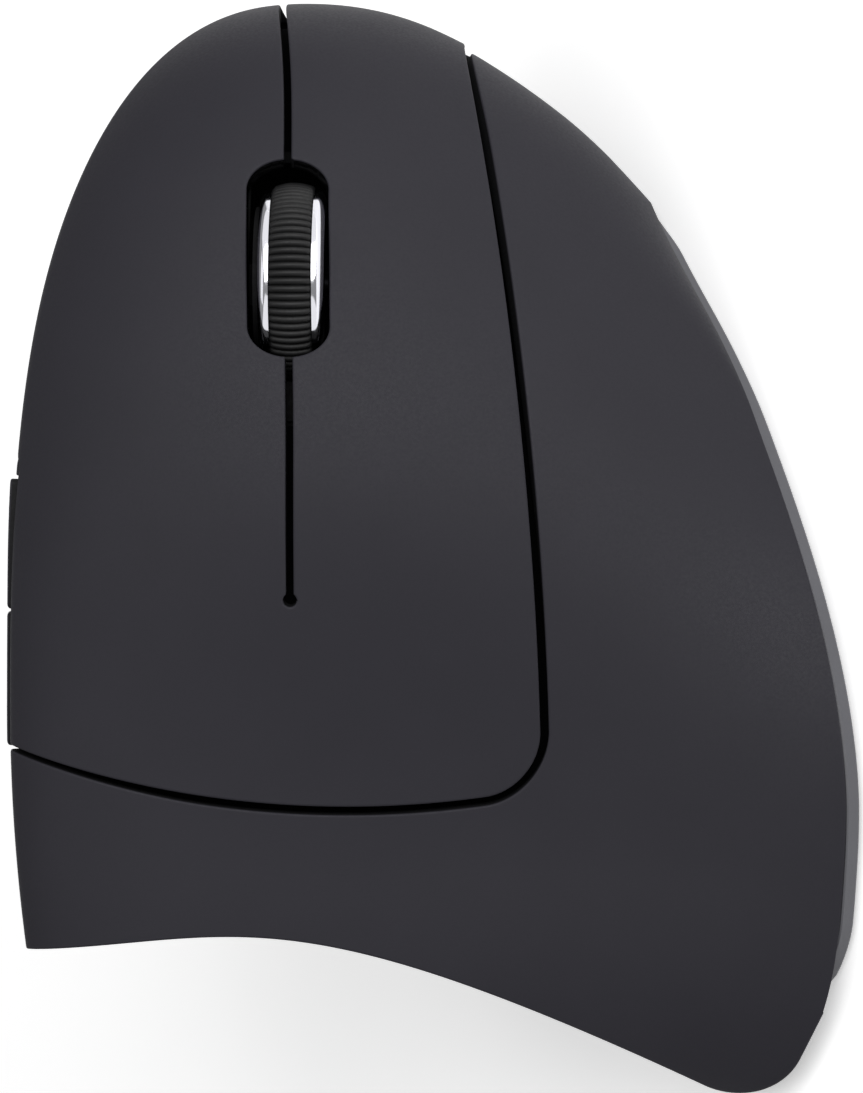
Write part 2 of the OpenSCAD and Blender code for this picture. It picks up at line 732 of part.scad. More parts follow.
module screw(p) {
    color("silver") translate([p.x, p.y, foot_h + head_h]) union() {
        translate([0, 0, -head_h + 0.2]) cylinder(d = screw_head_d, h = head_h - 0.2);
        cylinder(d = screw_d, h = screw_l - 1);
    }
}
module screw_front() {
    screw(screw_at[0]);
}
module screw_left() {
    screw(screw_at[1]);
}
module screw_right() {
    screw(screw_at[2]);
}

main_shell();
button_panel();
left_button();
right_button();
thumb_rest();
forward_key();
back_key();
wheel_bezel();
wheel_hub();
wheel_tyre();
wheel_rim_left();
wheel_rim_right();
wheel_axle();
wheel_yoke();
wheel_encoder();
inner_frame();
button_board();
left_switch();
right_switch();
middle_switch();
left_plunger();
right_plunger();
middle_plunger();
thumb_board();
forward_switch();
back_switch();
forward_plunger();
back_plunger();
base();
main_board();
optical_sensor();
sensor_lens();
controller_chip();
battery();
contact_front();
contact_rear();
battery_door();
power_switch();
power_knob();
foot_front();
foot_left();
foot_right();
screw_front();
screw_left();
screw_right();
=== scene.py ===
"""Vertical ergonomic mouse: its finished mouldings, wheel and surfaces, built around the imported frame."""

import json
import math

import bpy
import numpy as np
from mathutils import Matrix, Vector
from mathutils.geometry import delaunay_2d_cdt


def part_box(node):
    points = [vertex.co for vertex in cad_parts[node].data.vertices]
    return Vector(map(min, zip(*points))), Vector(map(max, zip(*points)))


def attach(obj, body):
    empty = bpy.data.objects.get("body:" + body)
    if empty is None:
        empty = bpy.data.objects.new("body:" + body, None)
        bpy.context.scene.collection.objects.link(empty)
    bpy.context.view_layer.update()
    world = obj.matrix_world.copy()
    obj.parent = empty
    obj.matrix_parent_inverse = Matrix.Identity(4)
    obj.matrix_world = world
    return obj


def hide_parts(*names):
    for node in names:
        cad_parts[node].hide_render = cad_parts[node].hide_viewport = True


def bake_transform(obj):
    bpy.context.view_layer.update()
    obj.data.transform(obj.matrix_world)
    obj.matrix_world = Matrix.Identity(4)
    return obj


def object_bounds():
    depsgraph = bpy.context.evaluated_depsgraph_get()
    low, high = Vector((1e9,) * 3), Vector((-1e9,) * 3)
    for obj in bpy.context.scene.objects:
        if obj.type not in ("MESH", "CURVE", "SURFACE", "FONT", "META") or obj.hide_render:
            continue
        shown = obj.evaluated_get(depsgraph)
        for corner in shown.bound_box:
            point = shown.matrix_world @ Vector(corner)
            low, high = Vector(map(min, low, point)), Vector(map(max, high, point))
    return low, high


bl_info = {
    "name": "Vertical mouse dresser",
    "version": (1, 0, 0),
    "blender": (4, 5, 0),
    "location": "View3D > Sidebar > Mouse",
    "description": "Builds the finished pieces of a vertical mouse around its construction model",
    "category": "Object",
}

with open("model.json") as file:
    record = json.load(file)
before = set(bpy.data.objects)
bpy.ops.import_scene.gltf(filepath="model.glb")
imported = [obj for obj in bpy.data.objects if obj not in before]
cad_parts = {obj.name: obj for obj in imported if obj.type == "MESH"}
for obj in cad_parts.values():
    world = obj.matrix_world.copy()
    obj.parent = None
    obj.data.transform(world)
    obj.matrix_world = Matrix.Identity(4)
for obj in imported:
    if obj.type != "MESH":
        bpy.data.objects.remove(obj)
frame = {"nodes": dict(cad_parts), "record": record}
CAD_BOX = [list(corner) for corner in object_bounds()]
BOX_LOW, BOX_HIGH = np.array(CAD_BOX) * 1000

# Shapes are worked out in millimetres, +Z up and +Y towards the nose, and turned to metres in the meshes
MM = 0.001

# Driving sizes of the body, in mm
LENGTH = BOX_HIGH[1] - BOX_LOW[1] - 0.02
HALF_WIDTH = BOX_HIGH[0]
HEIGHT = BOX_HIGH[2]
FACE_TILT = math.radians(36)
RIM_Z = 2.4
RIM_SEAM = 0.25
FOOT_H = 0.6
WALL = 2.0
RIDGE_X = -22.0
NOSE_X = -27.0
NOSE_Z = 29.0
WIDEST_Y = -28.0
RIDGE_TOP_Y = -17.0
RIDGE_DROP = 6.0
BELLY_DROP = 6.4
BELLY_TUCK = 0.45
TUCK_REAR_Y = (8, 20)
TUCK_NOSE_Y = (26, 48)
RIGHT_TRIM = 0.8
TRIM_NOSE_Y = (10, 35)
TRIM_TAIL_Y = (-50, -34)
TIP_Y = LENGTH / 2
TAIL_Y = -TIP_Y - 2.85
BLEND_Y = 20.0
CIRCLE = 0.5523

# Places on the button face, in its own axes: u down across the face, v forward, w out of the face
SIN = math.sin(FACE_TILT)
COS = math.cos(FACE_TILT)
FACE_AXES = np.array([[SIN, 0, -COS], [0, 1, 0], [COS, 0, SIN]])
RIDGE_U = RIDGE_X * SIN - HEIGHT * COS
RIDGE_W = RIDGE_X * COS + HEIGHT * SIN
SLIT_U = RIDGE_U + 29.5
SLIT_W = 0.8
SLIT_DRIFT = (0.5, -0.3)
SLIT_BEND = 1.9
SLIT_BEND_L = 22
RELIEF_R = 0.72
FLEX_V = TIP_Y - 66
PANEL_V = TIP_Y - 88
PANEL_U = RIDGE_U + 56.5
PANEL_TAPER = 10.0
PANEL_R = 6.0
REAR_RISE = 6.2
GROOVE_W = 0.9
SWING = math.radians(1.5)
BELT_W = RIDGE_W - 1.6
BELT_STEP_V = FLEX_V + 14
BELT_STEP = 2.4
BELT_FALL = 30.0
WHEEL_V = TIP_Y - 29.5
SLOT_HALF_W = 4.4
SLOT_HALF_L = 10.7
SLOT_ARCH = 3.3
WHEEL_DRIFT = 0.4
RING_R = (10.35, 9.2)
THUMB_GAP = 0.7
THUMB_U = RIDGE_U + 12
THUMB_HIGH = BELT_W - THUMB_GAP
THUMB_LOW = THUMB_HIGH - 6.2
KEY_L = 14.0
FORWARD_V = (FLEX_V + 13 - KEY_L, FLEX_V + 13)
BACK_V = (FORWARD_V[0] - 0.7 - KEY_L, FORWARD_V[0] - 0.25)
KEY_GAP = 0.35
KEY_PROUD = 0.6
KEY_CLEAR = 0.4
KEY_R = 0.6
REST_GAP = 0.4
NOSE_RECESS = 0.5
RECESS_Y = (42, 54)
REAR_WALL = 1.5
SEAT_DROP = 1.2
SEAT_NOSE_Y = (48, 58)
SEAT_T = 0.8
FLOOR_LIFT = 0.4
REST_X = RIDGE_X + 8
BASE_NOSE_Y = 50.0
BASE_INSET = 0.6
TAIL_INSET = 2.2
TAIL_INSET_X = (0, 15)
TAIL_INSET_Y = (-51, -40)
NOSE_INSET = 1.4
NOSE_INSET_X = (-24, -12)
NOSE_INSET_Y = (32, 39)
BASE_ROLL = 0.5
BASE_CHAMFER = 0.15
DOOR_X = (-2.0, 14.0)
DOOR_Y = (-44.0, 8.5)
DOOR_LEDGE = 1.0
DOOR_R = 0.4
DOOR_T = 1.2
UPRIGHT_T = 1.2
UPRIGHT_H = 8.7
UPRIGHT_HALF_W = 6
UPRIGHT_R = 0.2
POST_INSET = 2
POST_R = 1.5
SCREW_HEAD_R = 2.25
SCREW_HEAD_H = 0.9
SCREW_HOLE_R = 1.15
LENS_HALF = (4, 3.3)
SLIDE_HALF = (1.95, 3.85)
HOLE_R = 0.1
SENSOR_AT = (-9.5, 6.0)
POWER_AT = (-9.5, -16.0)


def mix(a, b, t):
    return a + (b - a) * t


def smooth(low, high, value):
    t = np.clip((value - low) / (high - low), 0, 1)
    return t * t * (3 - 2 * t)


def oval(q, a, b):
    return (1 - np.clip(q, 0, 1) ** a) ** (1 / b)


def bezier(p, t):
    t = t[:, None]
    return (1 - t) ** 3 * p[0] + 3 * t * (1 - t) ** 2 * p[1] + 3 * t * t * (1 - t) * p[2] + t ** 3 * p[3]


def slope(p, t):
    t = t[:, None]
    return (1 - t) ** 2 * (p[1] - p[0]) + 2 * t * (1 - t) * (p[2] - p[1]) + t * t * (p[3] - p[2])


def unit(vectors):
    return vectors / np.maximum(np.linalg.norm(vectors, axis=1, keepdims=True), 1e-9)


def pair(x, z):
    return np.stack(np.broadcast_arrays(x, z), axis=-1).astype(float)


# The body's surface: stations across the body, each a right-hand curve from the foot over the button face to
# the ridge, a left-hand curve down the thumb side, and a belly curve below, with the foot's edges rounded
def reach(y, start):
    return (y - start) / (TIP_Y - start)


def ridge(y):
    q = reach(y, RIDGE_TOP_Y)
    ahead = np.clip(q, 0, 1)
    back = np.clip((y - RIDGE_TOP_Y) / (TAIL_Y - RIDGE_TOP_Y), 0, None)
    z = np.where(q >= 0, mix(NOSE_Z, HEIGHT, oval(ahead, 2.5, 2.15)), HEIGHT - RIDGE_DROP * back ** 2)
    return pair(mix(RIDGE_X, NOSE_X, ahead ** 2), z)


def edge_height(y):
    return mix(RIM_Z, NOSE_Z, np.clip(reach(y, 10), 0, 1) ** 1.85)


def side_x(y, nose_curve, tail_curve):
    q = np.clip(reach(y, WIDEST_Y), 0, 1)
    share = np.clip((y - WIDEST_Y) / (TAIL_Y - WIDEST_Y), 0, 1)
    return np.where(y >= WIDEST_Y, nose_curve(q), tail_curve(share))


def foot_corners(y):
    right = side_x(y, lambda q: mix(NOSE_X, HALF_WIDTH, (1 - q ** 1.75) ** (1 / (1 + q ** 3.4))),
                   lambda share: mix(-3, HALF_WIDTH, oval(share, 2, 4)))
    right = right - RIGHT_TRIM * (1 - smooth(*TRIM_NOSE_Y, y)) * smooth(*TRIM_TAIL_Y, y)
    left = side_x(y, lambda q: mix(NOSE_X, -HALF_WIDTH, oval(q, 2.2, 2)),
                  lambda share: -HALF_WIDTH + 3 * share ** 2)
    z = edge_height(y)
    return pair(right, z), pair(left, z)


def lean(angle):
    return pair(np.cos(np.radians(angle)), np.sin(np.radians(angle)))


def section(y):
    """Control points of the right, left and belly curves at each station."""
    top = ridge(y)
    a, b = foot_corners(y)
    nose = smooth(25, TIP_Y - 2, y)[:, None]
    face = smooth(-30, 40, y)[:, None]
    right_rise = (top - a)[:, 1:]
    right_lean = lean(mix(28, 90, smooth(-35, 25, y))) * [-1, 1]
    level = pair(1, 0)
    right_pull = mix(mix(0.27, 0.5, face), CIRCLE, nose) * (a - top)[:, :1]
    right = [a, a + mix(0.5, CIRCLE, nose) * right_rise * right_lean, top + right_pull * level, top]
    left_lean = lean(mix(40, 90, smooth(-10, 40, y)))
    left_pull = mix(0.75, CIRCLE, nose) * (top - b)[:, :1]
    left = [top, top - left_pull * level, b + mix(0.5, CIRCLE, nose) * right_rise * left_lean, b]
    belly_z = mix(NOSE_Z, RIM_Z - BELLY_DROP, oval(reach(y, 37.5), 0.8, 2))
    sag = (a[:, 1] - belly_z) / 0.75
    tuck = BELLY_TUCK * smooth(*TUCK_REAR_Y, y) * (1 - smooth(*TUCK_NOSE_Y, y))
    return right, left, [b, b - pair(0, sag), a - pair(tuck * sag, sag), a]


def handle(p, size, end):
    """Curve parameter that lies a given length from an end of a cubic."""
    first, second = (p[3], p[2]) if end else (p[0], p[1])
    return size / (3 * np.linalg.norm(second - first, axis=1) + 1e-9)


STATION_KNEE = (BLEND_Y - TAIL_Y) / (BLEND_Y - TAIL_Y + (TIP_Y - BLEND_Y) * math.pi / 2)
RIGHT_ROUND = 12.0
LEFT_ROUND = 3.0


def station(q):
    turn = np.clip((q - STATION_KNEE) / (1 - STATION_KNEE), 0, 1) * math.pi / 2
    behind = mix(TAIL_Y, BLEND_Y, q / STATION_KNEE)
    return np.where(q < STATION_KNEE, behind, mix(BLEND_Y, TIP_Y, np.sin(turn)))


def body_point(par):
    """Points on the body. par holds q, from tail to nose, and s round the ring: 0-1 right, 1-2 left,
    2-3 rounded left edge, 3-4 belly, 4-5 rounded right edge."""
    q, s = par[:, 0], par[:, 1]
    y = station(np.clip(q, 0, 1))
    right, left, belly = section(y)
    spread = np.clip((right[0] - left[3])[:, 0] / 20, 0, 1)
    room = 0.9 * (right[0][:, 1] - RIM_Z)
    right_round, left_round = np.minimum(RIGHT_ROUND, room) * spread, np.minimum(LEFT_ROUND, room) * spread
    right_start, left_end = handle(right, right_round, 0), handle(left, left_round, 1)
    belly_start, belly_end = handle(belly, left_round, 0), handle(belly, right_round, 1)

    def corner(p, p_end, r, r_start, k):
        """A curve that leaves one cubic and joins the next along their own tangents."""
        first, last = bezier(p, p_end), bezier(r, r_start)
        reach_in = 0.38 * np.linalg.norm(last - first, axis=1, keepdims=True)
        return bezier([first, first + reach_in * unit(slope(p, p_end)),
                       last - reach_in * unit(slope(r, r_start)), last], k)

    turns = [bezier(right, mix(right_start, 1, s)), bezier(left, (s - 1) * (1 - left_end)),
             corner(left, 1 - left_end, belly, belly_start, s - 2),
             bezier(belly, mix(belly_start, 1 - belly_end, s - 3)),
             corner(belly, 1 - belly_end, right, right_start, s - 4)]
    which = np.clip(np.floor(s), 0, 4).astype(int)
    xz = np.stack(turns)[which, np.arange(len(s))]
    return np.stack([xz[:, 0], y, xz[:, 1]], axis=1)


def face_place(p):
    return (p @ FACE_AXES.T).T


def face_point(u, v, w):
    return np.stack(np.broadcast_arrays(u, v, w), axis=-1).astype(float) @ FACE_AXES


# Outlines on the body: each gives, in mm, how far a point lies inside a piece
def both(a, b, r):
    """Inside two outlines at once, with their corner rounded."""
    outside = np.hypot(np.clip(r - a, 0, None), np.clip(r - b, 0, None))
    return np.maximum(r, np.minimum(a, b)) - outside


def in_rectangle(a, b, low, high, r):
    return both(np.minimum(a - low[0], high[0] - a), np.minimum(b - low[1], high[1] - b), r)


def in_polygon(a, b, corners, r):
    """Inside a convex outline, its corners anticlockwise and rounded."""
    insides = []
    for (x0, y0), (x1, y1) in zip(corners, corners[1:] + corners[:1]):
        insides.append(((x1 - x0) * (b - y0) - (y1 - y0) * (a - x0)) / math.hypot(x1 - x0, y1 - y0))
    result = insides[0]
    for more in insides[1:]:
        result = both(result, more, r)
    return result


TAIL_LINE = [np.array(p) for p in ((RIDGE_U - 1, -TIP_Y + 16.3), (RIDGE_U + 26.6, -TIP_Y + 17.6),
                                   (SLIT_U - 1.2, -TIP_Y + 24.9), (SLIT_U + 56, -TIP_Y - 3.9))]
LINE_U, LINE_V = bezier(TAIL_LINE, np.linspace(0, 1, 240)).T
TAIL_CORNER = (SLIT_U + 55.1, -TIP_Y + 6.4)
TAIL_SIDE = math.radians(64.9)
TAIL_CORNER_R = 7.8
REAR_MID_U = SLIT_U + 6.5
REST_CORNERS = [(-34, RIM_Z + 14), (34, RIM_Z + 16), (34, HEIGHT - 26), (10, HEIGHT - 14), (-34, HEIGHT - 14)]


def over_rim(p):
    return p[:, 2] - RIM_Z - RIM_SEAM


def before_tail(p):
    u, v, w = face_place(p)
    line = (v - np.interp(u, LINE_U, LINE_V)) * math.cos(math.radians(20))
    side = math.cos(TAIL_SIDE) * (v - TAIL_CORNER[1]) - math.sin(TAIL_SIDE) * (u - TAIL_CORNER[0])
    return both(line, side, TAIL_CORNER_R)


def tail_line():
    """The tail's outline on the face, worked out along u."""
    u = np.linspace(RIDGE_U - 1, TAIL_CORNER[0] + 2, 500)
    low, high = np.full(len(u), -TIP_Y - 20), np.full(len(u), 0.0)
    for _ in range(40):
        mid = (low + high) / 2
        inside = before_tail(face_point(u, mid, 0)) > 0
        low, high = np.where(inside, low, mid), np.where(inside, mid, high)
    return u, high


TAIL_U, TAIL_V = tail_line()


def in_panel(p):
    u, v, w = face_place(p)
    side = PANEL_U - PANEL_TAPER * np.clip((v - PANEL_V) / (TIP_Y - PANEL_V), 0, 1.2) ** 2 - u
    rear = v - PANEL_V - REAR_RISE * ((u - REAR_MID_U) / (RIDGE_U - REAR_MID_U)) ** 2
    return both(side, rear, PANEL_R)


def belt(v):
    return (BELT_W - BELT_STEP * smooth(BELT_STEP_V, BELT_STEP_V + 3, v)
            - BELT_FALL * (1 - oval(v / TIP_Y, 2.5, 1.4)))


def over_belt(p):
    u, v, w = face_place(p)
    return w - belt(v)


def round_opening(p):
    """Outside the panel's opening, which leaves the groove and room for the buttons to swing."""
    u, v, w = face_place(p)
    room = GROOVE_W / 2 + np.clip(v - FLEX_V, 0, None) * math.tan(SWING)
    groove = GROOVE_W * mix(1, 0.65, 1 - smooth(RIDGE_U, RIDGE_U + 22, u))
    return -np.minimum(in_panel(p) + groove, w - belt(v) + room)


def outside_window(p):
    u, v, w = face_place(p)
    low = (BACK_V[0] - KEY_GAP, THUMB_LOW - THUMB_GAP)
    inside = in_rectangle(v, w, low, (FORWARD_V[1] + KEY_GAP, BELT_W + 20), 1.6)
    return -np.minimum(inside, np.minimum(THUMB_U - u, BELT_W + 0.3 - w))


def in_rest(p, grow=0.0):
    inside = in_polygon(p[:, 1], p[:, 2], REST_CORNERS, 6.0) + grow
    return np.minimum(inside, REST_X - p[:, 0])


def outside_rest(p):
    return -in_rest(p, REST_GAP)


def in_key(limits):
    def inside(p):
        u, v, w = face_place(p)
        inside = in_rectangle(v, w, (limits[0], THUMB_LOW), (limits[1], THUMB_HIGH - KEY_CLEAR), KEY_R)
        return np.minimum(inside, THUMB_U - u)
    return inside


def behind_flex(p):
    return FLEX_V - p[:, 1]


def ahead_of_flex(p):
    return p[:, 1] - FLEX_V


def off_slit(p):
    """How far a point lies to the right of the slit's middle, which drifts a little along the face."""
    u, v, w = face_place(p)
    bend = SLIT_BEND * np.clip((v - TIP_Y + SLIT_BEND_L) / SLIT_BEND_L, 0, 1) ** 3
    return u - SLIT_U - mix(*SLIT_DRIFT, smooth(FLEX_V + 14, TIP_Y - 12, v)) + bend


def outside_relief(p):
    return np.hypot(off_slit(p), p[:, 1] - FLEX_V) - RELIEF_R


def left_of_slit(p):
    return -off_slit(p) - SLIT_W / 2


def right_of_slit(p):
    return off_slit(p) - SLIT_W / 2


def outside_slot(p):
    ends = np.clip(np.abs(p[:, 1] - WHEEL_V) - SLOT_HALF_L + SLOT_ARCH, 0, None) / SLOT_ARCH
    return (np.hypot(off_slit(p) / SLOT_HALF_W, ends) - 1) * SLOT_ARCH


# Trimmed patches of the body's surface
RING_STEPS = (90, 78, 8, 30, 14)
STATION_STEPS = 150
PAR_STEP = 1e-5
FILLET_STEPS = 3
EDGE_FILLET = 0.22
TAIL_FILLET = 0.5


def body_grid():
    """The whole surface as parameters and triangles."""
    turns = [s + np.arange(n) / n for s, n in enumerate(RING_STEPS)]
    s = np.append(np.concatenate(turns), len(RING_STEPS))
    q = np.linspace(0, 1, STATION_STEPS + 1)
    par = np.stack(np.meshgrid(q, s, indexing="ij"), axis=-1).reshape(-1, 2)
    i, j = np.meshgrid(np.arange(len(q) - 1), np.arange(len(s) - 1), indexing="ij")
    a = (i * len(s) + j).ravel()
    quads = np.stack([a, a + len(s), a + len(s) + 1, a + 1], axis=1)
    return par, np.concatenate([quads[:, [0, 1, 2]], quads[:, [0, 2, 3]]])


def surface_frame(par):
    """Points, their tangents along q and s, outward normals, and the neighbours that tangents come from."""
    points = body_point(par)
    tangents, sides = [], []
    for axis, top in enumerate((1.0, float(len(RING_STEPS)))):
        low, high = par.copy(), par.copy()
        low[:, axis] = np.maximum(par[:, axis] - PAR_STEP, 0)
        high[:, axis] = np.minimum(par[:, axis] + PAR_STEP, top)
        gap = (high - low)[:, axis]
        before, after = body_point(low), body_point(high)
        tangents.append((after - before) / gap[:, None])
        sides.append((before, after, gap))
    normal = np.cross(tangents[0], tangents[1])
    size = np.linalg.norm(normal, axis=1, keepdims=True)
    normal = np.where(size > 1e-3, normal / np.maximum(size, 1e-9), [0.0, 1.0, 0.0])
    return points, tangents, normal, sides


class Patch:
    """A trimmed piece of the body's surface, as triangles over (q, s) parameters.

    bounds are the outlines that the piece ends at with a rolled edge, joined those where it runs on in a
    neighbour.
    """

    def __init__(self, bounds, joined=(), fillet=EDGE_FILLET):
        self.bounds = list(bounds)
        self.every = self.bounds + list(joined)
        self.fillet = fillet
        self.par = np.zeros((0, 2))
        self.points = self.normal = np.zeros((0, 3))
        self.depth = np.zeros((len(self.every), 0))
        self.lead = np.zeros((len(self.every), 0, 3))
        par, self.tris = body_grid()
        self.add(par)
        self.keep(self.depth.min(0)[self.tris].max(1) > -2.5)
        for near, longest in ((1.3, 0.8), (0.6, 0.45)):
            self.refine(near, longest)
        self.cut(self.every, 0.0)
        inside = self.depth.min(0)[self.tris].sum(1) > 0
        self.keep(inside)
        for step in range(1, FILLET_STEPS + 1):
            self.cut(self.bounds, fillet * step / FILLET_STEPS)
        _, first, same = np.unique(np.round(self.points, 3), axis=0, return_index=True, return_inverse=True)
        self.tris = first[same.reshape(-1)][self.tris]
        a, b, c = self.tris.T
        self.keep((a != b) & (b != c) & (c != a))

    def measure(self, par):
        """Depth inside each outline along the surface, the way that leads further in, points and normals."""
        points, (along, around), normal, sides = surface_frame(par)
        e, f, g = (along * along).sum(1), (along * around).sum(1), (around * around).sum(1)
        area = np.maximum(e * g - f * f, 1e-9)
        depth, lead = [], []
        for bound in self.every:
            dq, ds = [(bound(after) - bound(before)) / gap for before, after, gap in sides]
            slope = ((g * dq - f * ds) / area)[:, None] * along + ((e * ds - f * dq) / area)[:, None] * around
            depth.append(bound(points) / np.clip(np.linalg.norm(slope, axis=1), 0.15, 6.0))
            lead.append(unit(slope))
        return np.stack(depth), np.stack(lead), points, normal

    def add(self, par):
        depth, lead, points, normal = self.measure(par)
        self.par = np.concatenate([self.par, par])
        self.points = np.concatenate([self.points, points])
        self.normal = np.concatenate([self.normal, normal])
        self.depth = np.concatenate([self.depth, depth], axis=1)
        self.lead = np.concatenate([self.lead, lead], axis=1)

    def keep(self, which):
        used, tris = np.unique(self.tris[which], return_inverse=True)
        self.tris = tris.reshape(-1, 3)
        self.par, self.points, self.normal = self.par[used], self.points[used], self.normal[used]
        self.depth, self.lead = self.depth[:, used], self.lead[:, used]

    def split(self, cut, share):
        """Splits every triangle at those of its edges that cut marks, at the share that share gives."""
        tris = self.tris
        corners = tris[:, [[0, 1], [1, 2], [2, 0]]].reshape(-1, 2)
        edges, where = np.unique(np.sort(corners, axis=1), axis=0, return_inverse=True)
        marked = cut(edges)
        ends = edges[marked]
        at = share(ends)[:, None]
        fresh = np.full(len(edges), -1)
        fresh[marked] = len(self.par) + np.arange(len(ends))
        self.add(self.par[ends[:, 0]] * (1 - at) + self.par[ends[:, 1]] * at)
        mid = fresh[where.reshape(-1, 3)]
        count = (mid >= 0).sum(1)
        parts = [tris[count == 0]]
        for turn in range(3):
            t, m = np.roll(tris, -turn, axis=1), np.roll(mid, -turn, axis=1)
            one = (count == 1) & (m[:, 0] >= 0)
            (a, b, c), x = t[one].T, m[one, 0]
            parts += [np.stack(k, 1) for k in ((a, x, c), (x, b, c))]
            two = (count == 2) & (m[:, 2] < 0)
            (a, b, c), x, y = t[two].T, m[two, 0], m[two, 1]
            parts += [np.stack(k, 1) for k in ((x, b, y), (a, x, y), (a, y, c))]
        (a, b, c), (x, y, z) = tris[count == 3].T, mid[count == 3].T
        parts += [np.stack(k, 1) for k in ((a, x, z), (x, b, y), (z, y, c), (x, y, z))]
        self.tris = np.concatenate(parts)

    def refine(self, near, longest):
        """Halves the long edges that lie near an outline."""
        depth = np.abs(self.depth).min(0)

        def cut(edges):
            size = np.linalg.norm(self.points[edges[:, 0]] - self.points[edges[:, 1]], axis=1)
            return (depth[edges].min(1) < near) & (size > longest)

        self.split(cut, lambda ends: np.full(len(ends), 0.5))

    def cut(self, bounds, level):
        """Splits the patch along the line that lies a given depth inside the outlines."""
        count = len(bounds)
        over = self.depth[:count].min(0) > level

        def share(ends):
            low, high = np.zeros(len(ends)), np.ones(len(ends))
            first, last = self.par[ends[:, 0]], self.par[ends[:, 1]]
            for _ in range(16):
                mid = (low + high) / 2
                inside = self.measure(mix(first, last, mid[:, None]))[0][:count].min(0) > level
                same = inside == over[ends[:, 0]]
                low, high = np.where(same, mid, low), np.where(same, high, mid)
            return (low + high) / 2

        self.split(lambda edges: over[edges[:, 0]] != over[edges[:, 1]], share)

    def rolled(self):
        """Outer points with the border rolled over, and the outline that each point is nearest to."""
        count = len(self.bounds)
        nearest = self.depth[:count].argmin(0)
        index = np.arange(len(self.par))
        lead = self.lead[nearest, index]
        down = -self.normal
        for k, bound in enumerate(self.bounds):
            if bound is before_tail:
                down = np.where((nearest == k)[:, None], tail_wall_way(self.points, lead, self.normal), down)
            if bound is over_rim:
                down = np.where((nearest == k)[:, None], unit(-self.normal * [1, 1, 0]), down)
        d = np.clip(self.depth[nearest, index], 0, self.fillet)[:, None]
        t = 1 - d / self.fillet
        start, edge = self.points + (self.fillet - d) * lead, self.points - d * lead
        curve = (1 - t) ** 2 * start + 2 * t * (1 - t) * edge + t * t * (edge + self.fillet * down)
        return np.where(t > 0, curve, self.points), nearest

    def solid(self, proud=0.0, wall=WALL):
        """A closed moulding: points, faces and kinds: 0 outside, 1 inside and walls, 2 the slot's lining."""
        if callable(proud):
            proud = proud(self.points)[:, None]
        outer, nearest = self.rolled()
        outer = outer + proud * self.normal
        inner = self.points + (np.minimum(proud, 0) - wall) * self.normal
        if over_rim in self.bounds:
            inner[:, 1] += np.clip(WALL - before_tail(inner), 0, None)
            inner[:, 2] = np.maximum(inner[:, 2], RIM_Z + RIM_SEAM)
        edges = self.tris[:, [[0, 1], [1, 2], [2, 0]]].reshape(-1, 2)
        _, first, count = np.unique(np.sort(edges, axis=1), axis=0, return_index=True, return_counts=True)
        rim = edges[first[count == 1]]
        n = len(self.par)
        lined = [bound is outside_slot for bound in self.bounds]
        faces = self.tris.tolist() + (self.tris[:, ::-1] + n).tolist()
        faces += np.stack([rim[:, 1], rim[:, 0], rim[:, 0] + n, rim[:, 1] + n], 1).tolist()
        kinds = [0] * len(self.tris) + [1] * len(self.tris)
        kinds += [2 if lined[nearest[a]] else 1 for a in rim[:, 0]]
        return np.concatenate([outer, inner]), faces, kinds


def tail_wall_way(points, lead, normal):
    """Down the rear wall, square to its edge."""
    u = face_place(points)[0]
    slope = np.interp(u, TAIL_U, np.gradient(TAIL_V, TAIL_U))
    out = face_point(slope, -1.0, 0.0)
    down = unit(np.cross(np.cross(normal, lead), out))
    return down * -np.sign((down * normal).sum(1, keepdims=True))


def grid_solid(outer, inner, rows, columns):
    """A closed slab between two grids of points."""
    i, j = np.meshgrid(np.arange(rows - 1), np.arange(columns - 1), indexing="ij")
    a = (i * columns + j).ravel()
    quads = np.stack([a, a + 1, a + columns + 1, a + columns], axis=1)
    n = rows * columns
    border = ([r for r in range(columns)] + [columns * r + columns - 1 for r in range(1, rows)]
              + [n - 1 - r for r in range(1, columns)] + [columns * r for r in range(rows - 2, 0, -1)])
    faces = quads.tolist() + (quads[:, ::-1] + n).tolist()
    faces += [[b, a, a + n, b + n] for a, b in zip(border, border[1:] + border[:1])]
    return np.concatenate([outer, inner]), faces, [0] * len(quads) + [1] * (len(faces) - len(quads))


def wall_span(u, v):
    """Lowest and highest w inside the body at a place on the face, or None where there is no body."""
    ring = np.linspace(0, 2, 700)
    q = STATION_KNEE * (v - TAIL_Y) / (BLEND_Y - TAIL_Y)
    if q < 0:
        return None
    ring_u, _, ring_w = face_place(body_point(np.stack([np.full(len(ring), q), ring], axis=1)))
    turn = ring_u.argmin()
    if not ring_u[turn] < u < ring_u[0]:
        return None
    low = (RIM_Z + RIM_SEAM + u * COS) / SIN
    if u < ring_u[-1]:
        low = max(low, np.interp(u, ring_u[turn:], ring_w[turn:]))
    return low, np.interp(u, ring_u[turn::-1], ring_w[turn::-1])


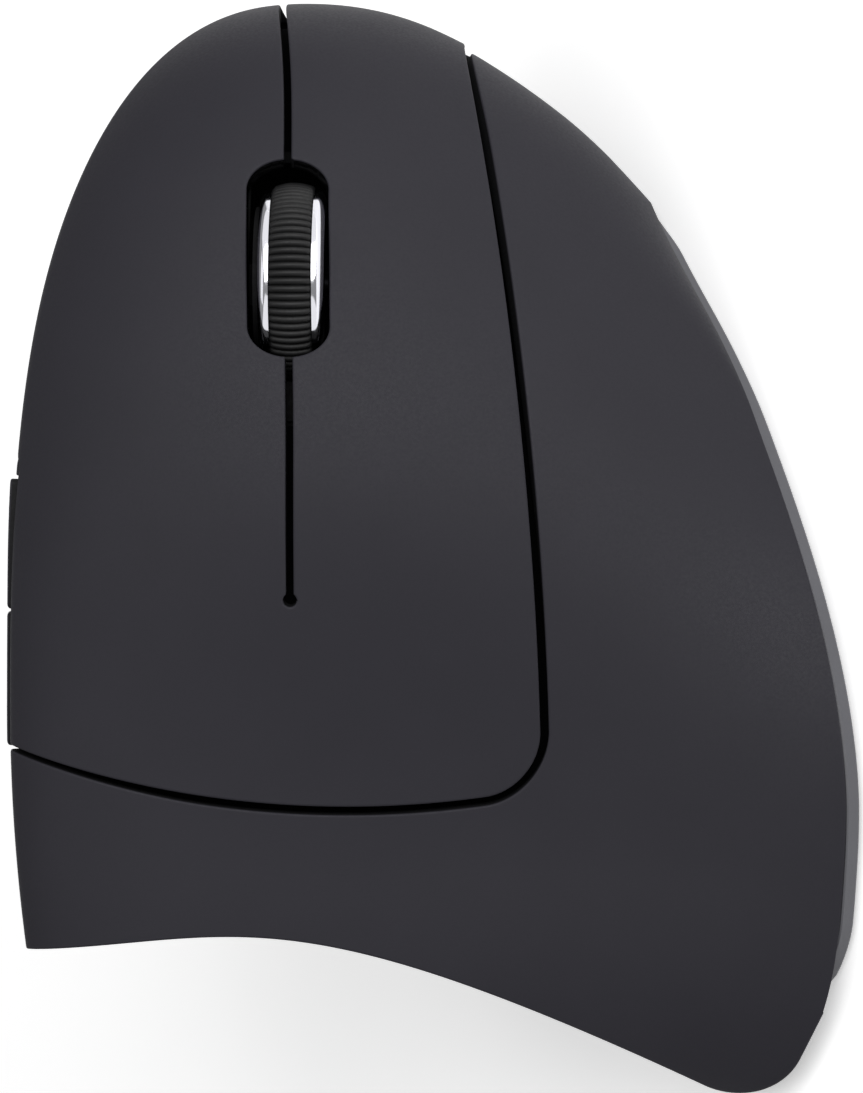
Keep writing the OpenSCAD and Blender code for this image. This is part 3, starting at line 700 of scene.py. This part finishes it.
def rear_wall():
    """The wall that closes the tail, ruled along the face's normal between the two sides of the skin."""
    columns, rows = 150, 40
    outer, inner = [], []
    slopes = np.gradient(TAIL_V, TAIL_U)
    for u in np.linspace(TAIL_U[0], TAIL_U[-1], columns):
        v, rise = np.interp(u, TAIL_U, TAIL_V), np.interp(u, TAIL_U, slopes)
        within = np.array([u, v]) + REAR_WALL * np.array([-rise, 1]) / math.hypot(rise, 1)
        spans = wall_span(u, v), wall_span(*within)
        if None in spans or spans[0][1] < spans[0][0] + TAIL_FILLET:
            continue
        share = np.linspace(0, 1, rows)
        top = spans[0][1] - 0.8 * TAIL_FILLET
        outer.append(face_point(u, v, mix(spans[0][0], top, share)))
        inner_top = max(min(top, spans[1][1] - 1), spans[0][0] + 0.05)
        inner.append(face_point(*within, mix(spans[0][0], inner_top, share)))
    outer, inner = [np.stack(side, axis=1).reshape(-1, 3) for side in (outer, inner)]
    return grid_solid(outer, inner, rows, len(outer) // rows)


def make_object(name, parts, materials, sharp=40):
    """A mesh object from parts that each hold points in mm, faces and the faces' kinds."""
    points = np.concatenate([part[0] for part in parts])
    starts = np.cumsum([0] + [len(part[0]) for part in parts])
    _, first, merged = np.unique(np.round(points, 4), axis=0, return_index=True, return_inverse=True)
    merged = merged.reshape(-1)
    faces, kinds = [], []
    for start, (_, part_faces, part_kinds) in zip(starts, parts):
        for face, kind in zip(part_faces, part_kinds):
            corners = list(dict.fromkeys(merged[start + i] for i in face))
            if len(corners) > 2:
                faces.append(corners)
                kinds.append(kind)
    mesh = bpy.data.meshes.new(name)
    mesh.from_pydata((points[first] * MM).tolist(), [], faces)
    for material in materials:
        mesh.materials.append(material)
    mesh.polygons.foreach_set("material_index", np.array(kinds, dtype=np.int32))
    mesh.shade_smooth()
    mesh.set_sharp_from_angle(angle=math.radians(sharp))
    obj = bpy.data.objects.new(name, mesh)
    bpy.context.scene.collection.objects.link(obj)
    weight = obj.modifiers.new("Weighted normals", "WEIGHTED_NORMAL")
    weight.keep_sharp = True
    return obj


def base_outline():
    """The plan of the body at its foot, as a loop from the nose down the right side and back up the left."""
    turns = np.linspace(0, len(RING_STEPS), 240 * len(RING_STEPS) + 1)
    rows = []
    for t in np.linspace(0, 1, 260):
        y = mix(TAIL_Y + 1, BASE_NOSE_Y, 1 - (1 - t) ** 2)
        q = STATION_KNEE * (y - TAIL_Y) / (BLEND_Y - TAIL_Y)
        if y > BLEND_Y:
            turn = math.asin((y - BLEND_Y) / (TIP_Y - BLEND_Y))
            q = mix(STATION_KNEE, 1, turn * 2 / math.pi)
        ring = body_point(np.stack([np.full(len(turns), q), turns], axis=1))
        x, below = ring[:, 0], ring[:, 2] - RIM_Z - 1e-3
        if below.min() > 0:
            break
        cross = np.flatnonzero((below[:-1] > 0) != (below[1:] > 0))
        ends = x[cross] + (x[cross + 1] - x[cross]) * below[cross] / (below[cross] - below[cross + 1])
        rows.append((y, ends.min(), ends.max()))
    y, left, right = np.array(rows).T
    tail_x, tail_y = (TAIL_U + RIM_Z * COS) / SIN, TAIL_V
    on_tail = (tail_x > np.interp(tail_y, y, left)) & (tail_x < np.interp(tail_y, y, right))
    sides = [np.stack([x, y], axis=1)[before_tail(np.stack([x, y, np.full(len(y), RIM_Z)], axis=1)) > 0]
             for x in (right, left)]
    tail = np.stack([tail_x, tail_y], axis=1)[on_tail]
    loop = np.concatenate([sides[0][::-1], tail[::-1], sides[1]])
    step = np.append(0, np.cumsum(np.linalg.norm(np.roll(loop, -1, axis=0) - loop, axis=1)))
    even = np.linspace(0, step[-1], 700, endpoint=False)
    closed = np.concatenate([loop, loop[:1]])
    return np.stack([np.interp(even, step, closed[:, k]) for k in (0, 1)], axis=1)


def inset(loop, distance):
    """A clockwise loop moved inwards."""
    way = unit(np.roll(loop, -3, axis=0) - np.roll(loop, 3, axis=0))
    return loop + distance * np.stack([way[:, 1], -way[:, 0]], axis=1)


def box_loop(low, high, r, steps=6):
    left, right, front, rear = low[0] + r, high[0] - r, high[1] - r, low[1] + r
    corners = ((right, front), (left, front), (left, rear), (right, rear))
    turn = np.linspace(0, math.pi / 2, steps)
    return np.array([(x + r * math.cos(a + k * math.pi / 2), y + r * math.sin(a + k * math.pi / 2))
                     for k, (x, y) in enumerate(corners) for a in turn])


def round_loop(x, y, r, steps=40):
    turn = np.linspace(0, 2 * math.pi, steps, endpoint=False)
    return np.stack([x + r * np.cos(turn), y + r * np.sin(turn)], axis=1)


def within_loop(points, loop):
    """Which points lie inside a closed loop."""
    x, y = points[:, :1], points[:, 1:]
    (x0, y0), (x1, y1) = loop.T, np.roll(loop, -1, axis=0).T
    level = np.where(y1 == y0, 1, y1 - y0)
    crossed = ((y0 > y) != (y1 > y)) & (x < x0 + (x1 - x0) * (y - y0) / level)
    return crossed.sum(1) % 2 == 1


def fill(loops):
    """Anticlockwise triangles between an outer loop and its holes, as indices into all the loops' points."""
    points = np.concatenate(loops)
    edges, start = [], 0
    for loop in loops:
        n = len(loop)
        edges += [(start + i, start + (i + 1) % n) for i in range(n)]
        start += n
    corners, _, faces, origin, _, _ = delaunay_2d_cdt([Vector(p) for p in points], edges, [], 1, 1e-6)
    middles = np.array([sum((corners[i] for i in face), Vector((0, 0))) / 3 for face in faces])
    layers = sum(within_loop(middles, loop).astype(int) for loop in loops)
    return [[origin[i][0] for i in face] for face, layer in zip(faces, layers) if layer == 1]


def plate(walls):
    """A closed plate. Each wall is a list of (loop, height) from the bottom up: first the outer wall, its
    loops clockwise, and then the holes, their loops anticlockwise."""
    points, faces = [], []
    for wall in walls:
        n = len(wall[0][0])
        for level in range(len(wall) - 1):
            a = sum(map(len, points)) + level * n
            faces += [(a + n + i, a + n + (i + 1) % n, a + (i + 1) % n, a + i) for i in range(n)]
        points += [np.column_stack([loop, np.full(n, z)]) for loop, z in wall]
    ends = np.cumsum([0] + [sum(len(loop) for loop, z in wall) for wall in walls])
    for at in (0, -1):
        loops = [wall[at][0] for wall in walls]
        starts = [ends[k] if at == 0 else ends[k + 1] - len(loop) for k, loop in enumerate(loops)]
        index = np.concatenate([start + np.arange(len(loop)) for start, loop in zip(starts, loops)])
        faces += [index[tri[::-1] if at == 0 else tri].tolist() for tri in fill(loops)]
    return np.concatenate(points), faces, [0] * len(faces)


def base_plate():
    """The foot: a plate with a rolled edge and openings for the door, lens, slide and screws, the posts that
    carry the board, and the uprights that back the battery's contacts."""
    loop = base_outline()
    x, y = loop[:, :1], loop[:, 1:]
    tail = TAIL_INSET * (1 - smooth(*TAIL_INSET_Y, y)) * smooth(*TAIL_INSET_X, x)
    nose = NOSE_INSET * smooth(*NOSE_INSET_Y, y) * smooth(*NOSE_INSET_X, x)
    edge = inset(loop, BASE_INSET + tail + nose)
    low, r = FOOT_H, BASE_ROLL
    rolls = [(edge if k == 4 else inset(edge, r * (1 - math.sin(k * math.pi / 8))),
              low + r * (1 - math.cos(k * math.pi / 8))) for k in range(5)]
    walls = [rolls + [(edge, RIM_Z - BASE_CHAMFER), (inset(edge, BASE_CHAMFER), RIM_Z)]]
    door_low, door_high = np.array([DOOR_X, DOOR_Y]).T
    wide = box_loop(door_low - DOOR_LEDGE, door_high + DOOR_LEDGE, DOOR_R)
    narrow = box_loop(door_low, door_high, DOOR_R)
    walls.append([(wide, low), (wide, low + DOOR_T), (narrow, low + DOOR_T), (narrow, RIM_Z)])
    for (x, y), (w, l) in ((SENSOR_AT, LENS_HALF), (POWER_AT, SLIDE_HALF)):
        loop = box_loop((x - w, y - l), (x + w, y + l), HOLE_R)
        walls.append([(loop, low), (loop, RIM_Z)])
    for name in ("screw_front", "screw_left", "screw_right"):
        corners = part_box(name)
        x, y = ((corners[0] + corners[1]) * 500)[:2]
        head, shank = round_loop(x, y, SCREW_HEAD_R), round_loop(x, y, SCREW_HOLE_R)
        walls.append([(head, low), (head, low + SCREW_HEAD_H), (shank, low + SCREW_HEAD_H), (shank, RIM_Z)])
    parts = [plate(walls)]
    board_low, board_high = [np.array(corner) * 1000 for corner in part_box("main_board")]
    for x in (board_low[0] + POST_INSET, board_high[0] - POST_INSET):
        for y in (board_low[1] + POST_INSET, board_high[1] - POST_INSET):
            post = round_loop(x, y, POST_R)[::-1]
            parts.append(plate([[(post, RIM_Z), (post, board_low[2])]]))
    for name, back in (("contact_front", 1), ("contact_rear", -1)):
        contact_low, contact_high = [np.array(corner) * 1000 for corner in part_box(name)]
        x = (contact_low[0] + contact_high[0]) / 2
        near = contact_high[1] if back > 0 else contact_low[1]
        far = near + back * UPRIGHT_T
        rear, front = sorted((near, far))
        upright = box_loop((x - UPRIGHT_HALF_W, rear), (x + UPRIGHT_HALF_W, front), UPRIGHT_R)[::-1]
        parts.append(plate([[(upright, RIM_Z), (upright, RIM_Z + UPRIGHT_H)]]))
    return parts


# Materials. A pattern's scale comes from its real size; the finest grains are drawn coarser so that they show
def linear(code):
    """Scene-linear colour from an sRGB hex code."""
    values = [int(code[i:i + 2], 16) / 255 for i in (1, 3, 5)]
    return tuple(v / 12.92 if v <= 0.04045 else ((v + 0.055) / 1.055) ** 2.4 for v in values)


def add(tree, kind, inputs=None, **settings):
    """Adds a shader node, with its settings, and with its inputs set or linked."""
    made = tree.nodes.new("ShaderNode" + kind)
    for name, value in settings.items():
        setattr(made, name, value)
    for name, value in (inputs or {}).items():
        if isinstance(value, bpy.types.NodeSocket):
            tree.links.new(value, made.inputs[name])
        else:
            made.inputs[name].default_value = value
    return made


def finish_material(name, colour, spread, roughness, grain, depth, **shader):
    """A material whose colour varies by spread, with a surface grain of the given size and depth in mm."""
    material = bpy.data.materials.new(name)
    material.use_nodes = True
    tree = material.node_tree
    tree.nodes.clear()
    place = add(tree, "TexCoord").outputs["Object"]
    cloud = add(tree, "TexNoise", {"Vector": place, "Scale": 1 / (9 * MM), "Detail": 3.0}).outputs["Fac"]
    fine = add(tree, "TexNoise", {"Vector": place, "Scale": 1 / (grain * MM), "Detail": 2.0}).outputs["Fac"]
    tint = add(tree, "ValToRGB", {"Fac": cloud})
    for stop, share in zip(tint.color_ramp.elements, (1 - spread, 1 + spread)):
        stop.color = [min(c * share, 1) for c in colour] + [1]
    tint.color_ramp.elements[0].position = 0.3
    tint.color_ramp.elements[1].position = 0.7
    rough = add(tree, "MapRange", {"Value": fine, "From Min": 0.3, "From Max": 0.7,
                                   "To Min": roughness * 0.9, "To Max": roughness * 1.1})
    bump = add(tree, "Bump", {"Height": fine, "Distance": depth * MM, "Strength": 1.0})
    values = {"Base Color": tint.outputs["Color"], "Roughness": rough.outputs["Result"],
              "Normal": bump.outputs["Normal"]}
    values.update({key.replace("_", " "): value for key, value in shader.items()})
    surface = add(tree, "BsdfPrincipled", values)
    add(tree, "OutputMaterial", {"Surface": surface.outputs["BSDF"]})
    return material


# Each finish by name: its colour is an sRGB code or the name of one of the colours that a user may change
FINISHES = {
    # Sprayed soft-touch coat: near-black grey, a broad dull sheen and a very fine grain
    "Soft-touch coated ABS": dict(
        colour="coat", spread=0.03, roughness=0.6, grain=0.3, depth=0.004, IOR=1.5, Specular_IOR_Level=0.2),
    # Bare ABS as it leaves the mould, on the inner faces and walls: darker than the coat, partly as painted
    # shade that keeps grooves and gaps black, with a spark-eroded texture
    "Moulded black ABS": dict(
        colour="#111113", spread=0.05, roughness=0.65, grain=0.4, depth=0.006,
        IOR=1.53, Specular_IOR_Level=0.2),
    # Strips below the grooves, near-black as painted shade so that the grooves read black and nothing shines
    # through: the blackest of all
    "Flocked black ABS": dict(
        colour="#070708", spread=0.1, roughness=0.95, grain=0.3, depth=0.02,
        IOR=1.4, Specular_IOR_Level=0.05),
    # Polished mould: deep black with a clear mirror highlight
    "Polished black ABS": dict(
        colour="#060607", spread=0.05, roughness=0.1, grain=1.5, depth=0.001, IOR=1.53),
    # Moulded foot: paler grey plastic that catches light along its edge
    "Textured grey ABS": dict(
        colour="foot", spread=0.04, roughness=0.45, grain=0.35, depth=0.006, IOR=1.53),
    # Overmoulded rubber: flat and dusty dark grey
    "Moulded soft TPE": dict(
        colour="rubber", spread=0.06, roughness=0.75, grain=0.5, depth=0.012,
        IOR=1.49, Specular_IOR_Level=0.35),
    # Moulded tyre rubber: dull black that only shines on the crests
    "Moulded tyre rubber": dict(
        colour="#0d0d0e", spread=0.06, roughness=0.55, grain=0.25, depth=0.004,
        IOR=1.52, Specular_IOR_Level=0.35),
    # Bright chrome over plastic: mirror metal, hardly tinted
    "Plated chrome": dict(
        colour="chrome", spread=0.02, roughness=0.1, grain=1.2, depth=0.0008, Metallic=1.0),
    # Turned and stamped steel: grey metal with a soft reflection
    "Stamped steel": dict(
        colour="#b4b4b6", spread=0.04, roughness=0.32, grain=0.3, depth=0.002, Metallic=1.0),
    # Oxidised pin: near-black metal
    "Blackened steel": dict(
        colour="#1d1d1f", spread=0.06, roughness=0.35, grain=0.3, depth=0.002, Metallic=1.0),
    # Spark-eroded black mouldings round the wheel: matt and very dark
    "Matt black ABS": dict(
        colour="#0a0a0b", spread=0.05, roughness=0.8, grain=0.4, depth=0.006,
        IOR=1.53, Specular_IOR_Level=0.12),
    # Black acetal of the yoke and frame: even, matt and very dark
    "Moulded black acetal": dict(
        colour="#0c0c0d", spread=0.05, roughness=0.7, grain=0.5, depth=0.003,
        IOR=1.48, Specular_IOR_Level=0.15),
    # Undyed acetal of the plungers and slide: milky white, slightly waxy
    "Moulded natural acetal": dict(
        colour="#e6e4dc", spread=0.02, roughness=0.4, grain=0.5, depth=0.003, IOR=1.48),
    # Filled polyester of switches and chips: matte black
    "Moulded black PBT": dict(
        colour="#1b1b1c", spread=0.05, roughness=0.6, grain=0.3, depth=0.004, IOR=1.57),
    # Solder mask over woven glass: glossy green
    "Solder-masked board": dict(
        colour="#12492a", spread=0.15, roughness=0.3, grain=0.7, depth=0.01, IOR=1.55),
    # Injection-moulded acrylic: clear as glass
    "Clear moulded acrylic": dict(
        colour="#f4f7f8", spread=0.01, roughness=0.05, grain=2.0, depth=0.0005,
        IOR=1.49, Transmission_Weight=1.0),
    # Shrunk PVC sleeve on a steel can: smooth, plain coppery brown
    "PVC battery sleeve": dict(
        colour="#8a5a28", spread=0.05, roughness=0.3, grain=1.0, depth=0.002, IOR=1.53),
    # Skived PTFE: waxy pale grey
    "Skived PTFE": dict(
        colour="#9a9a9c", spread=0.03, roughness=0.4, grain=0.5, depth=0.003, IOR=1.35),
}


def material(name):
    """The named material, made when it is first asked for."""
    if name not in bpy.data.materials:
        finish = dict(FINISHES[name])
        colour = finish.pop("colour")
        look = bpy.context.scene.mouse_look
        finish_material(name, linear(colour) if colour.startswith("#") else getattr(look, colour), **finish)
    return bpy.data.materials[name]


SLOT_MATERIALS = {
    "shell_plastic": "Moulded black ABS",
    "thumb_rubber": "Moulded soft TPE",
    "gloss_black": "Polished black ABS",
    "tyre_rubber": "Moulded tyre rubber",
    "bright_rim": "Plated chrome",
    "steel": "Stamped steel",
    "acetal": "Moulded natural acetal",
    "component_plastic": "Moulded black PBT",
    "board": "Solder-masked board",
    "lens": "Clear moulded acrylic",
    "battery_can": "PVC battery sleeve",
    "glide": "Skived PTFE",
}
# Nodes whose finish isn't that of their slot
SPECIAL = {
    "battery_door": "Textured grey ABS",
    "wheel_axle": "Blackened steel",
    "wheel_bezel": "Matt black ABS",
    "wheel_hub": "Matt black ABS",
    "wheel_yoke": "Moulded black acetal",
    "inner_frame": "Moulded black acetal",
}
SLOT_OF = {part["node"]: part["material_slot"] for part in frame["record"]["subparts"]}
COATED = ("Soft-touch coated ABS", "Moulded black ABS", "Polished black ABS")
RUBBER = ("Moulded soft TPE", "Moulded soft TPE")


# Pieces
def stand_for(obj, node, body=None):
    """obj rides on the node's body and takes the node's place in the picture."""
    if body:
        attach(obj, body)
    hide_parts(node)
    return obj


def nose_recess(p):
    """The shell lies a little lower than the panel at the nose."""
    return -NOSE_RECESS * smooth(*RECESS_Y, p[:, 1])


def under_panel(p):
    """A strip below the groove round the panel."""
    inside = in_panel(p)
    return np.minimum(inside + GROOVE_W + 1.2, 1.6 - inside)


def under_slit(p):
    """Strips below the slit between the buttons, behind the wheel and ahead of it."""
    u, v, w = face_place(p)
    ahead = np.minimum(v - WHEEL_V - SLOT_HALF_L - 2, TIP_Y - 0.5 - v)
    behind = np.minimum(v - FLEX_V + 2, WHEEL_V - SLOT_HALF_L - 2.5 - v)
    return np.minimum(2.0 - np.abs(off_slit(p)), np.maximum(ahead, behind))


def under_belt(p):
    """A strip below the gap under the buttons' lower edge."""
    u, v, w = face_place(p)
    room = GROOVE_W / 2 + np.clip(v - FLEX_V, 0, None) * math.tan(SWING)
    over = w - belt(v)
    return np.minimum(np.minimum(over + room + 1.0, 1.0 - over), v - FORWARD_V[1] - 2)


def seat_depth(p):
    """Down to the panel's seat, which leaves room for the buttons to swing and is closer behind the nose."""
    nose = smooth(*SEAT_NOSE_Y, p[:, 1])
    swing = np.clip(p[:, 1] - FLEX_V, 0, None) * math.tan(SWING)
    return -WALL - SEAT_DROP * (1 - 0.5 * nose) - swing * (1 - nose)


def skin_piece(node, body, bounds, joined=(), materials=COATED, proud=0.0, extra=()):
    patch = Patch(bounds, joined)
    obj = make_object(node + "_moulding", [patch.solid(proud), *extra], [material(m) for m in materials])
    return stand_for(obj, node, body)


def lathe(profile, steps, centre, groove=None):
    """A closed ring turned about the wheel's axle. profile holds (along the axle, radius) pairs."""
    along, radius = np.array(profile).T
    turn = np.linspace(0, 2 * math.pi, steps, endpoint=False)
    reach_out = np.broadcast_to(radius, (steps, len(radius)))
    if groove is not None:
        reach_out = reach_out - groove(turn)[:, None] * (np.abs(radius - radius.max()) < 1)
    points = face_point(np.broadcast_to(along, reach_out.shape), np.cos(turn)[:, None] * reach_out,
                        np.sin(turn)[:, None] * reach_out) + centre
    i, j = np.meshgrid(np.arange(steps), np.arange(len(along)), indexing="ij")
    k, m = (i + 1) % steps, (j + 1) % len(along)
    n = len(along)
    faces = np.stack([i * n + j, i * n + m, k * n + m, k * n + j], axis=-1).reshape(-1, 4)
    return points.reshape(-1, 3), faces.tolist(), [0] * len(faces)


# Lamps: name, place in the face's axes in metres, size in metres, power in watts, and whether only the rings
# are lit. The two cards stand for white walls that the bright rings mirror
LAMPS = (
    ("Key softbox", (0.0, 0.55, 1.08), 0.9, 11.0, False),
    ("Top softbox", (-0.9, 0.1, 0.7), 0.9, 2.0, False),
    ("Nose card", (0.0, 1.3, 0.75), 2.5, 14.0, True),
    ("Tail card", (0.0, -1.3, 0.75), 2.5, 14.0, True),
)
# Camera: its distance from the face and the place it aims at, in mm, fitted to the photograph
CAMERA_AWAY = 700
CAMERA_AIM = (-25.29, -0.32, 0)
CAMERA_LENS = 208.7


class MouseLook(bpy.types.PropertyGroup):
    """Sizes and colours of the finished mouse."""

    key_proud: bpy.props.FloatProperty(
        name="Key height", description="How far the thumb keys stand out of the shell, in mm",
        default=KEY_PROUD)
    rib_count: bpy.props.IntProperty(
        name="Tyre ribs", description="Ribs round the wheel's tyre", default=80)
    rib_depth: bpy.props.FloatProperty(
        name="Rib depth", description="Depth of the grooves between the tyre's ribs, in mm", default=0.4)
    crown: bpy.props.FloatProperty(
        name="Tyre crown", description="How far the tyre's middle stands above its edges, in mm", default=0.5)
    coat: bpy.props.FloatVectorProperty(
        name="Coat", description="Colour of the soft-touch coat", subtype="COLOR", default=linear("#2a292f"))
    rubber: bpy.props.FloatVectorProperty(
        name="Rubber", description="Colour of the thumb rest", subtype="COLOR", default=linear("#242427"))
    foot: bpy.props.FloatVectorProperty(
        name="Foot", description="Colour of the base", subtype="COLOR", default=linear("#55555a"))
    chrome: bpy.props.FloatVectorProperty(
        name="Chrome", description="Tint of the wheel's rings", subtype="COLOR", default=linear("#e2e2e8"))
    floor: bpy.props.FloatVectorProperty(
        name="Floor", description="Colour of the floor", subtype="COLOR", default=linear("#ffffff"))


class MOUSE_OT_shell(bpy.types.Operator):
    """Build the shell with its rear wall, and the thumb rest in its side"""

    bl_idname = "mouse.shell"
    bl_label = "Shell and thumb rest"

    def execute(self, context):
        bounds = [before_tail, over_rim, round_opening, outside_window, outside_rest]
        skin_piece("main_shell", "chassis", bounds, proud=nose_recess, extra=[rear_wall()])
        skin_piece("thumb_rest", "chassis", [in_rest], materials=RUBBER)
        return {"FINISHED"}


class MOUSE_OT_buttons(bpy.types.Operator):
    """Build the button panel and the two finger buttons that run on from it"""

    bl_idname = "mouse.buttons"
    bl_label = "Button panel and buttons"

    def execute(self, context):
        skin_piece("button_panel", "chassis", [in_panel, over_belt, outside_relief], [behind_flex])
        for node, side in (("left_button", left_of_slit), ("right_button", right_of_slit)):
            bounds = [in_panel, over_belt, side, outside_slot, outside_relief]
            obj = skin_piece(node, None, bounds, [ahead_of_flex])
            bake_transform(obj)
        # Strips below the grooves, in a near-black that paints the grooves' shade
        for name, bounds in (("panel_seat", [under_panel, over_belt]), ("slit_seat", [under_slit, over_belt]),
                             ("belt_seat", [under_belt, in_panel])):
            seat = Patch(bounds).solid(seat_depth, SEAT_T)
            obj = make_object(name, [seat], [material("Flocked black ABS")] * 3)
            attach(obj, "chassis")
        return {"FINISHED"}


class MOUSE_OT_keys(bpy.types.Operator):
    """Build the two thumb keys"""

    bl_idname = "mouse.keys"
    bl_label = "Thumb keys"

    def execute(self, context):
        proud = context.scene.mouse_look.key_proud
        skin_piece("forward_key", "forward_key", [in_key(FORWARD_V)], proud=proud)
        skin_piece("back_key", "back_key", [in_key(BACK_V)], proud=proud)
        return {"FINISHED"}


class MOUSE_OT_wheel(bpy.types.Operator):
    """Build the wheel's ribbed tyre and bright rings"""

    bl_idname = "mouse.wheel"
    bl_label = "Wheel"

    def execute(self, context):
        look = context.scene.mouse_look
        low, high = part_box("wheel_hub")
        centre = np.array((low + high) / 2) * 1000
        centre = centre + face_point(WHEEL_DRIFT, 0, 0)
        hub_r, tyre_r, half_tyre, half_hub = 8.4, 11.0, 2.3, 3.55
        across = np.linspace(-half_tyre, half_tyre, 17)
        crown = tyre_r - look.crown * (across / half_tyre) ** 2
        crown[[0, -1]] -= 0.25
        profile = [(-half_tyre, hub_r), (half_tyre, hub_r), *zip(across[::-1], crown)]

        def groove(turn):
            return look.rib_depth * (1 - np.abs(np.cos(turn * look.rib_count / 2)) ** 0.6)

        tyre = make_object("wheel_tyre_ribbed", [lathe(profile, look.rib_count * 8, centre, groove)],
                           [material("Moulded tyre rubber")], 60)
        stand_for(tyre, "wheel_tyre", "wheel")
        t = np.linspace(0, 1, 12)
        bulge = mix(*RING_R, t ** 4)
        for side, node in ((-1, "wheel_rim_left"), (1, "wheel_rim_right")):
            outside = zip(side * mix(half_tyre, half_hub, t), bulge)
            ring = [(side * half_tyre, hub_r), *outside, (side * half_hub, hub_r)]
            turned = lathe(ring[::-side], 240, centre)
            obj = make_object(node + "_ring", [turned], [material("Plated chrome")], 50)
            stand_for(obj, node, "wheel")
        return {"FINISHED"}


class MOUSE_OT_base(bpy.types.Operator):
    """Build the base that closes the shell"""

    bl_idname = "mouse.base"
    bl_label = "Base"

    def execute(self, context):
        obj = make_object("base_moulding", base_plate(), [material("Textured grey ABS")], 30)
        stand_for(obj, "base", "chassis")
        return {"FINISHED"}


class MOUSE_OT_inside(bpy.types.Operator):
    """Give the construction model's own nodes their materials"""

    bl_idname = "mouse.inside"
    bl_label = "Finishes of the inside parts"

    def execute(self, context):
        for name, obj in frame["nodes"].items():
            if obj.hide_render:
                continue
            chosen = SPECIAL.get(name) or SLOT_MATERIALS[SLOT_OF[name]]
            obj.data.materials.clear()
            obj.data.materials.append(material(chosen))
        return {"FINISHED"}


class MOUSE_OT_stage(bpy.types.Operator):
    """Set up the floor, the soft light and the camera"""

    bl_idname = "mouse.stage"
    bl_label = "Stage"

    def execute(self, context):
        scene = context.scene
        floor_mesh = bpy.data.meshes.new("Floor")
        floor_mesh.from_pydata([(-6, -6, 0), (6, -6, 0), (6, 6, 0), (-6, 6, 0)], [], [(0, 1, 2, 3)])
        # Seamless paper: flat white with a faint tooth
        paper = finish_material("Matt studio paper", scene.mouse_look.floor, 0.01, 0.9, 2.0, 0.01,
                                Specular_IOR_Level=0.1, Emission_Color=(*[FLOOR_LIFT] * 3, 1))
        shader = next(n for n in paper.node_tree.nodes if n.type == "BSDF_PRINCIPLED")
        path = add(paper.node_tree, "LightPath").outputs
        seen = path["Is Camera Ray"]
        for ray in ("Is Glossy Ray", "Is Transmission Ray"):
            more = add(paper.node_tree, "Math", operation="MAXIMUM")
            paper.node_tree.links.new(seen, more.inputs[0])
            paper.node_tree.links.new(path[ray], more.inputs[1])
            seen = more.outputs["Value"]
        paper.node_tree.links.new(seen, shader.inputs["Emission Strength"])
        floor_mesh.materials.append(paper)
        floor = bpy.data.objects.new("Floor", floor_mesh)
        scene.collection.objects.link(floor)
        world = bpy.data.worlds.new("Studio")
        world.use_nodes = True
        tree = world.node_tree
        tree.nodes.clear()
        sky = add(tree, "Background", {"Color": (1, 1, 1, 1), "Strength": 0.3})
        add(tree, "OutputWorld", {"Surface": sky.outputs["Background"]})
        scene.world = world
        centre = Vector(face_point(-25, 0, 20) * MM)
        rings = bpy.data.collections.new("Rings")
        for name in ("wheel_rim_left_ring", "wheel_rim_right_ring"):
            rings.objects.link(bpy.data.objects[name])
        for name, place, size, power, rings_only in LAMPS:
            lamp = bpy.data.lights.new(name, "AREA")
            lamp.size = size
            lamp.energy = power
            obj = bpy.data.objects.new(name, lamp)
            obj.location = face_point(*place)
            obj.rotation_mode = "QUATERNION"
            obj.rotation_quaternion = (centre - obj.location).to_track_quat("-Z", "Y")
            if rings_only:
                obj.light_linking.receiver_collection = rings
            scene.collection.objects.link(obj)
        lens = bpy.data.cameras.new("Camera")
        lens.sensor_width = 36
        lens.lens = CAMERA_LENS
        lens.clip_start = 0.05
        lens.clip_end = 20
        camera = bpy.data.objects.new("Camera", lens)
        eye = Vector(face_point(0, 0, CAMERA_AWAY) * MM)
        back = (eye - Vector(face_point(*CAMERA_AIM) * MM)).normalized()
        right = Vector((0, 1, 0)).cross(back).normalized()
        turn = Matrix((right, back.cross(right), back)).transposed()
        camera.matrix_world = Matrix.Translation(eye) @ turn.to_4x4()
        scene.collection.objects.link(camera)
        scene.camera = camera
        scene.view_settings.view_transform = "Standard"
        return {"FINISHED"}


class MOUSE_PT_sidebar(bpy.types.Panel):
    bl_label = "Vertical mouse"
    bl_space_type = "VIEW_3D"
    bl_region_type = "UI"
    bl_category = "Mouse"

    def draw(self, context):
        for operator in OPERATORS:
            self.layout.operator(operator.bl_idname)
        for name in MouseLook.__annotations__:
            self.layout.prop(context.scene.mouse_look, name)


OPERATORS = (MOUSE_OT_shell, MOUSE_OT_buttons, MOUSE_OT_keys, MOUSE_OT_wheel, MOUSE_OT_base,
             MOUSE_OT_inside, MOUSE_OT_stage)
CLASSES = (MouseLook, *OPERATORS, MOUSE_PT_sidebar)


def register():
    for cls in CLASSES:
        bpy.utils.register_class(cls)
    bpy.types.Scene.mouse_look = bpy.props.PointerProperty(type=MouseLook)


def unregister():
    del bpy.types.Scene.mouse_look
    for cls in reversed(CLASSES):
        bpy.utils.unregister_class(cls)


def main():
    register()
    bpy.ops.mouse.shell()
    bpy.ops.mouse.buttons()
    bpy.ops.mouse.keys()
    bpy.ops.mouse.wheel()
    bpy.ops.mouse.base()
    bpy.ops.mouse.inside()
    bpy.ops.mouse.stage()


if __name__ == "__main__":
    main()
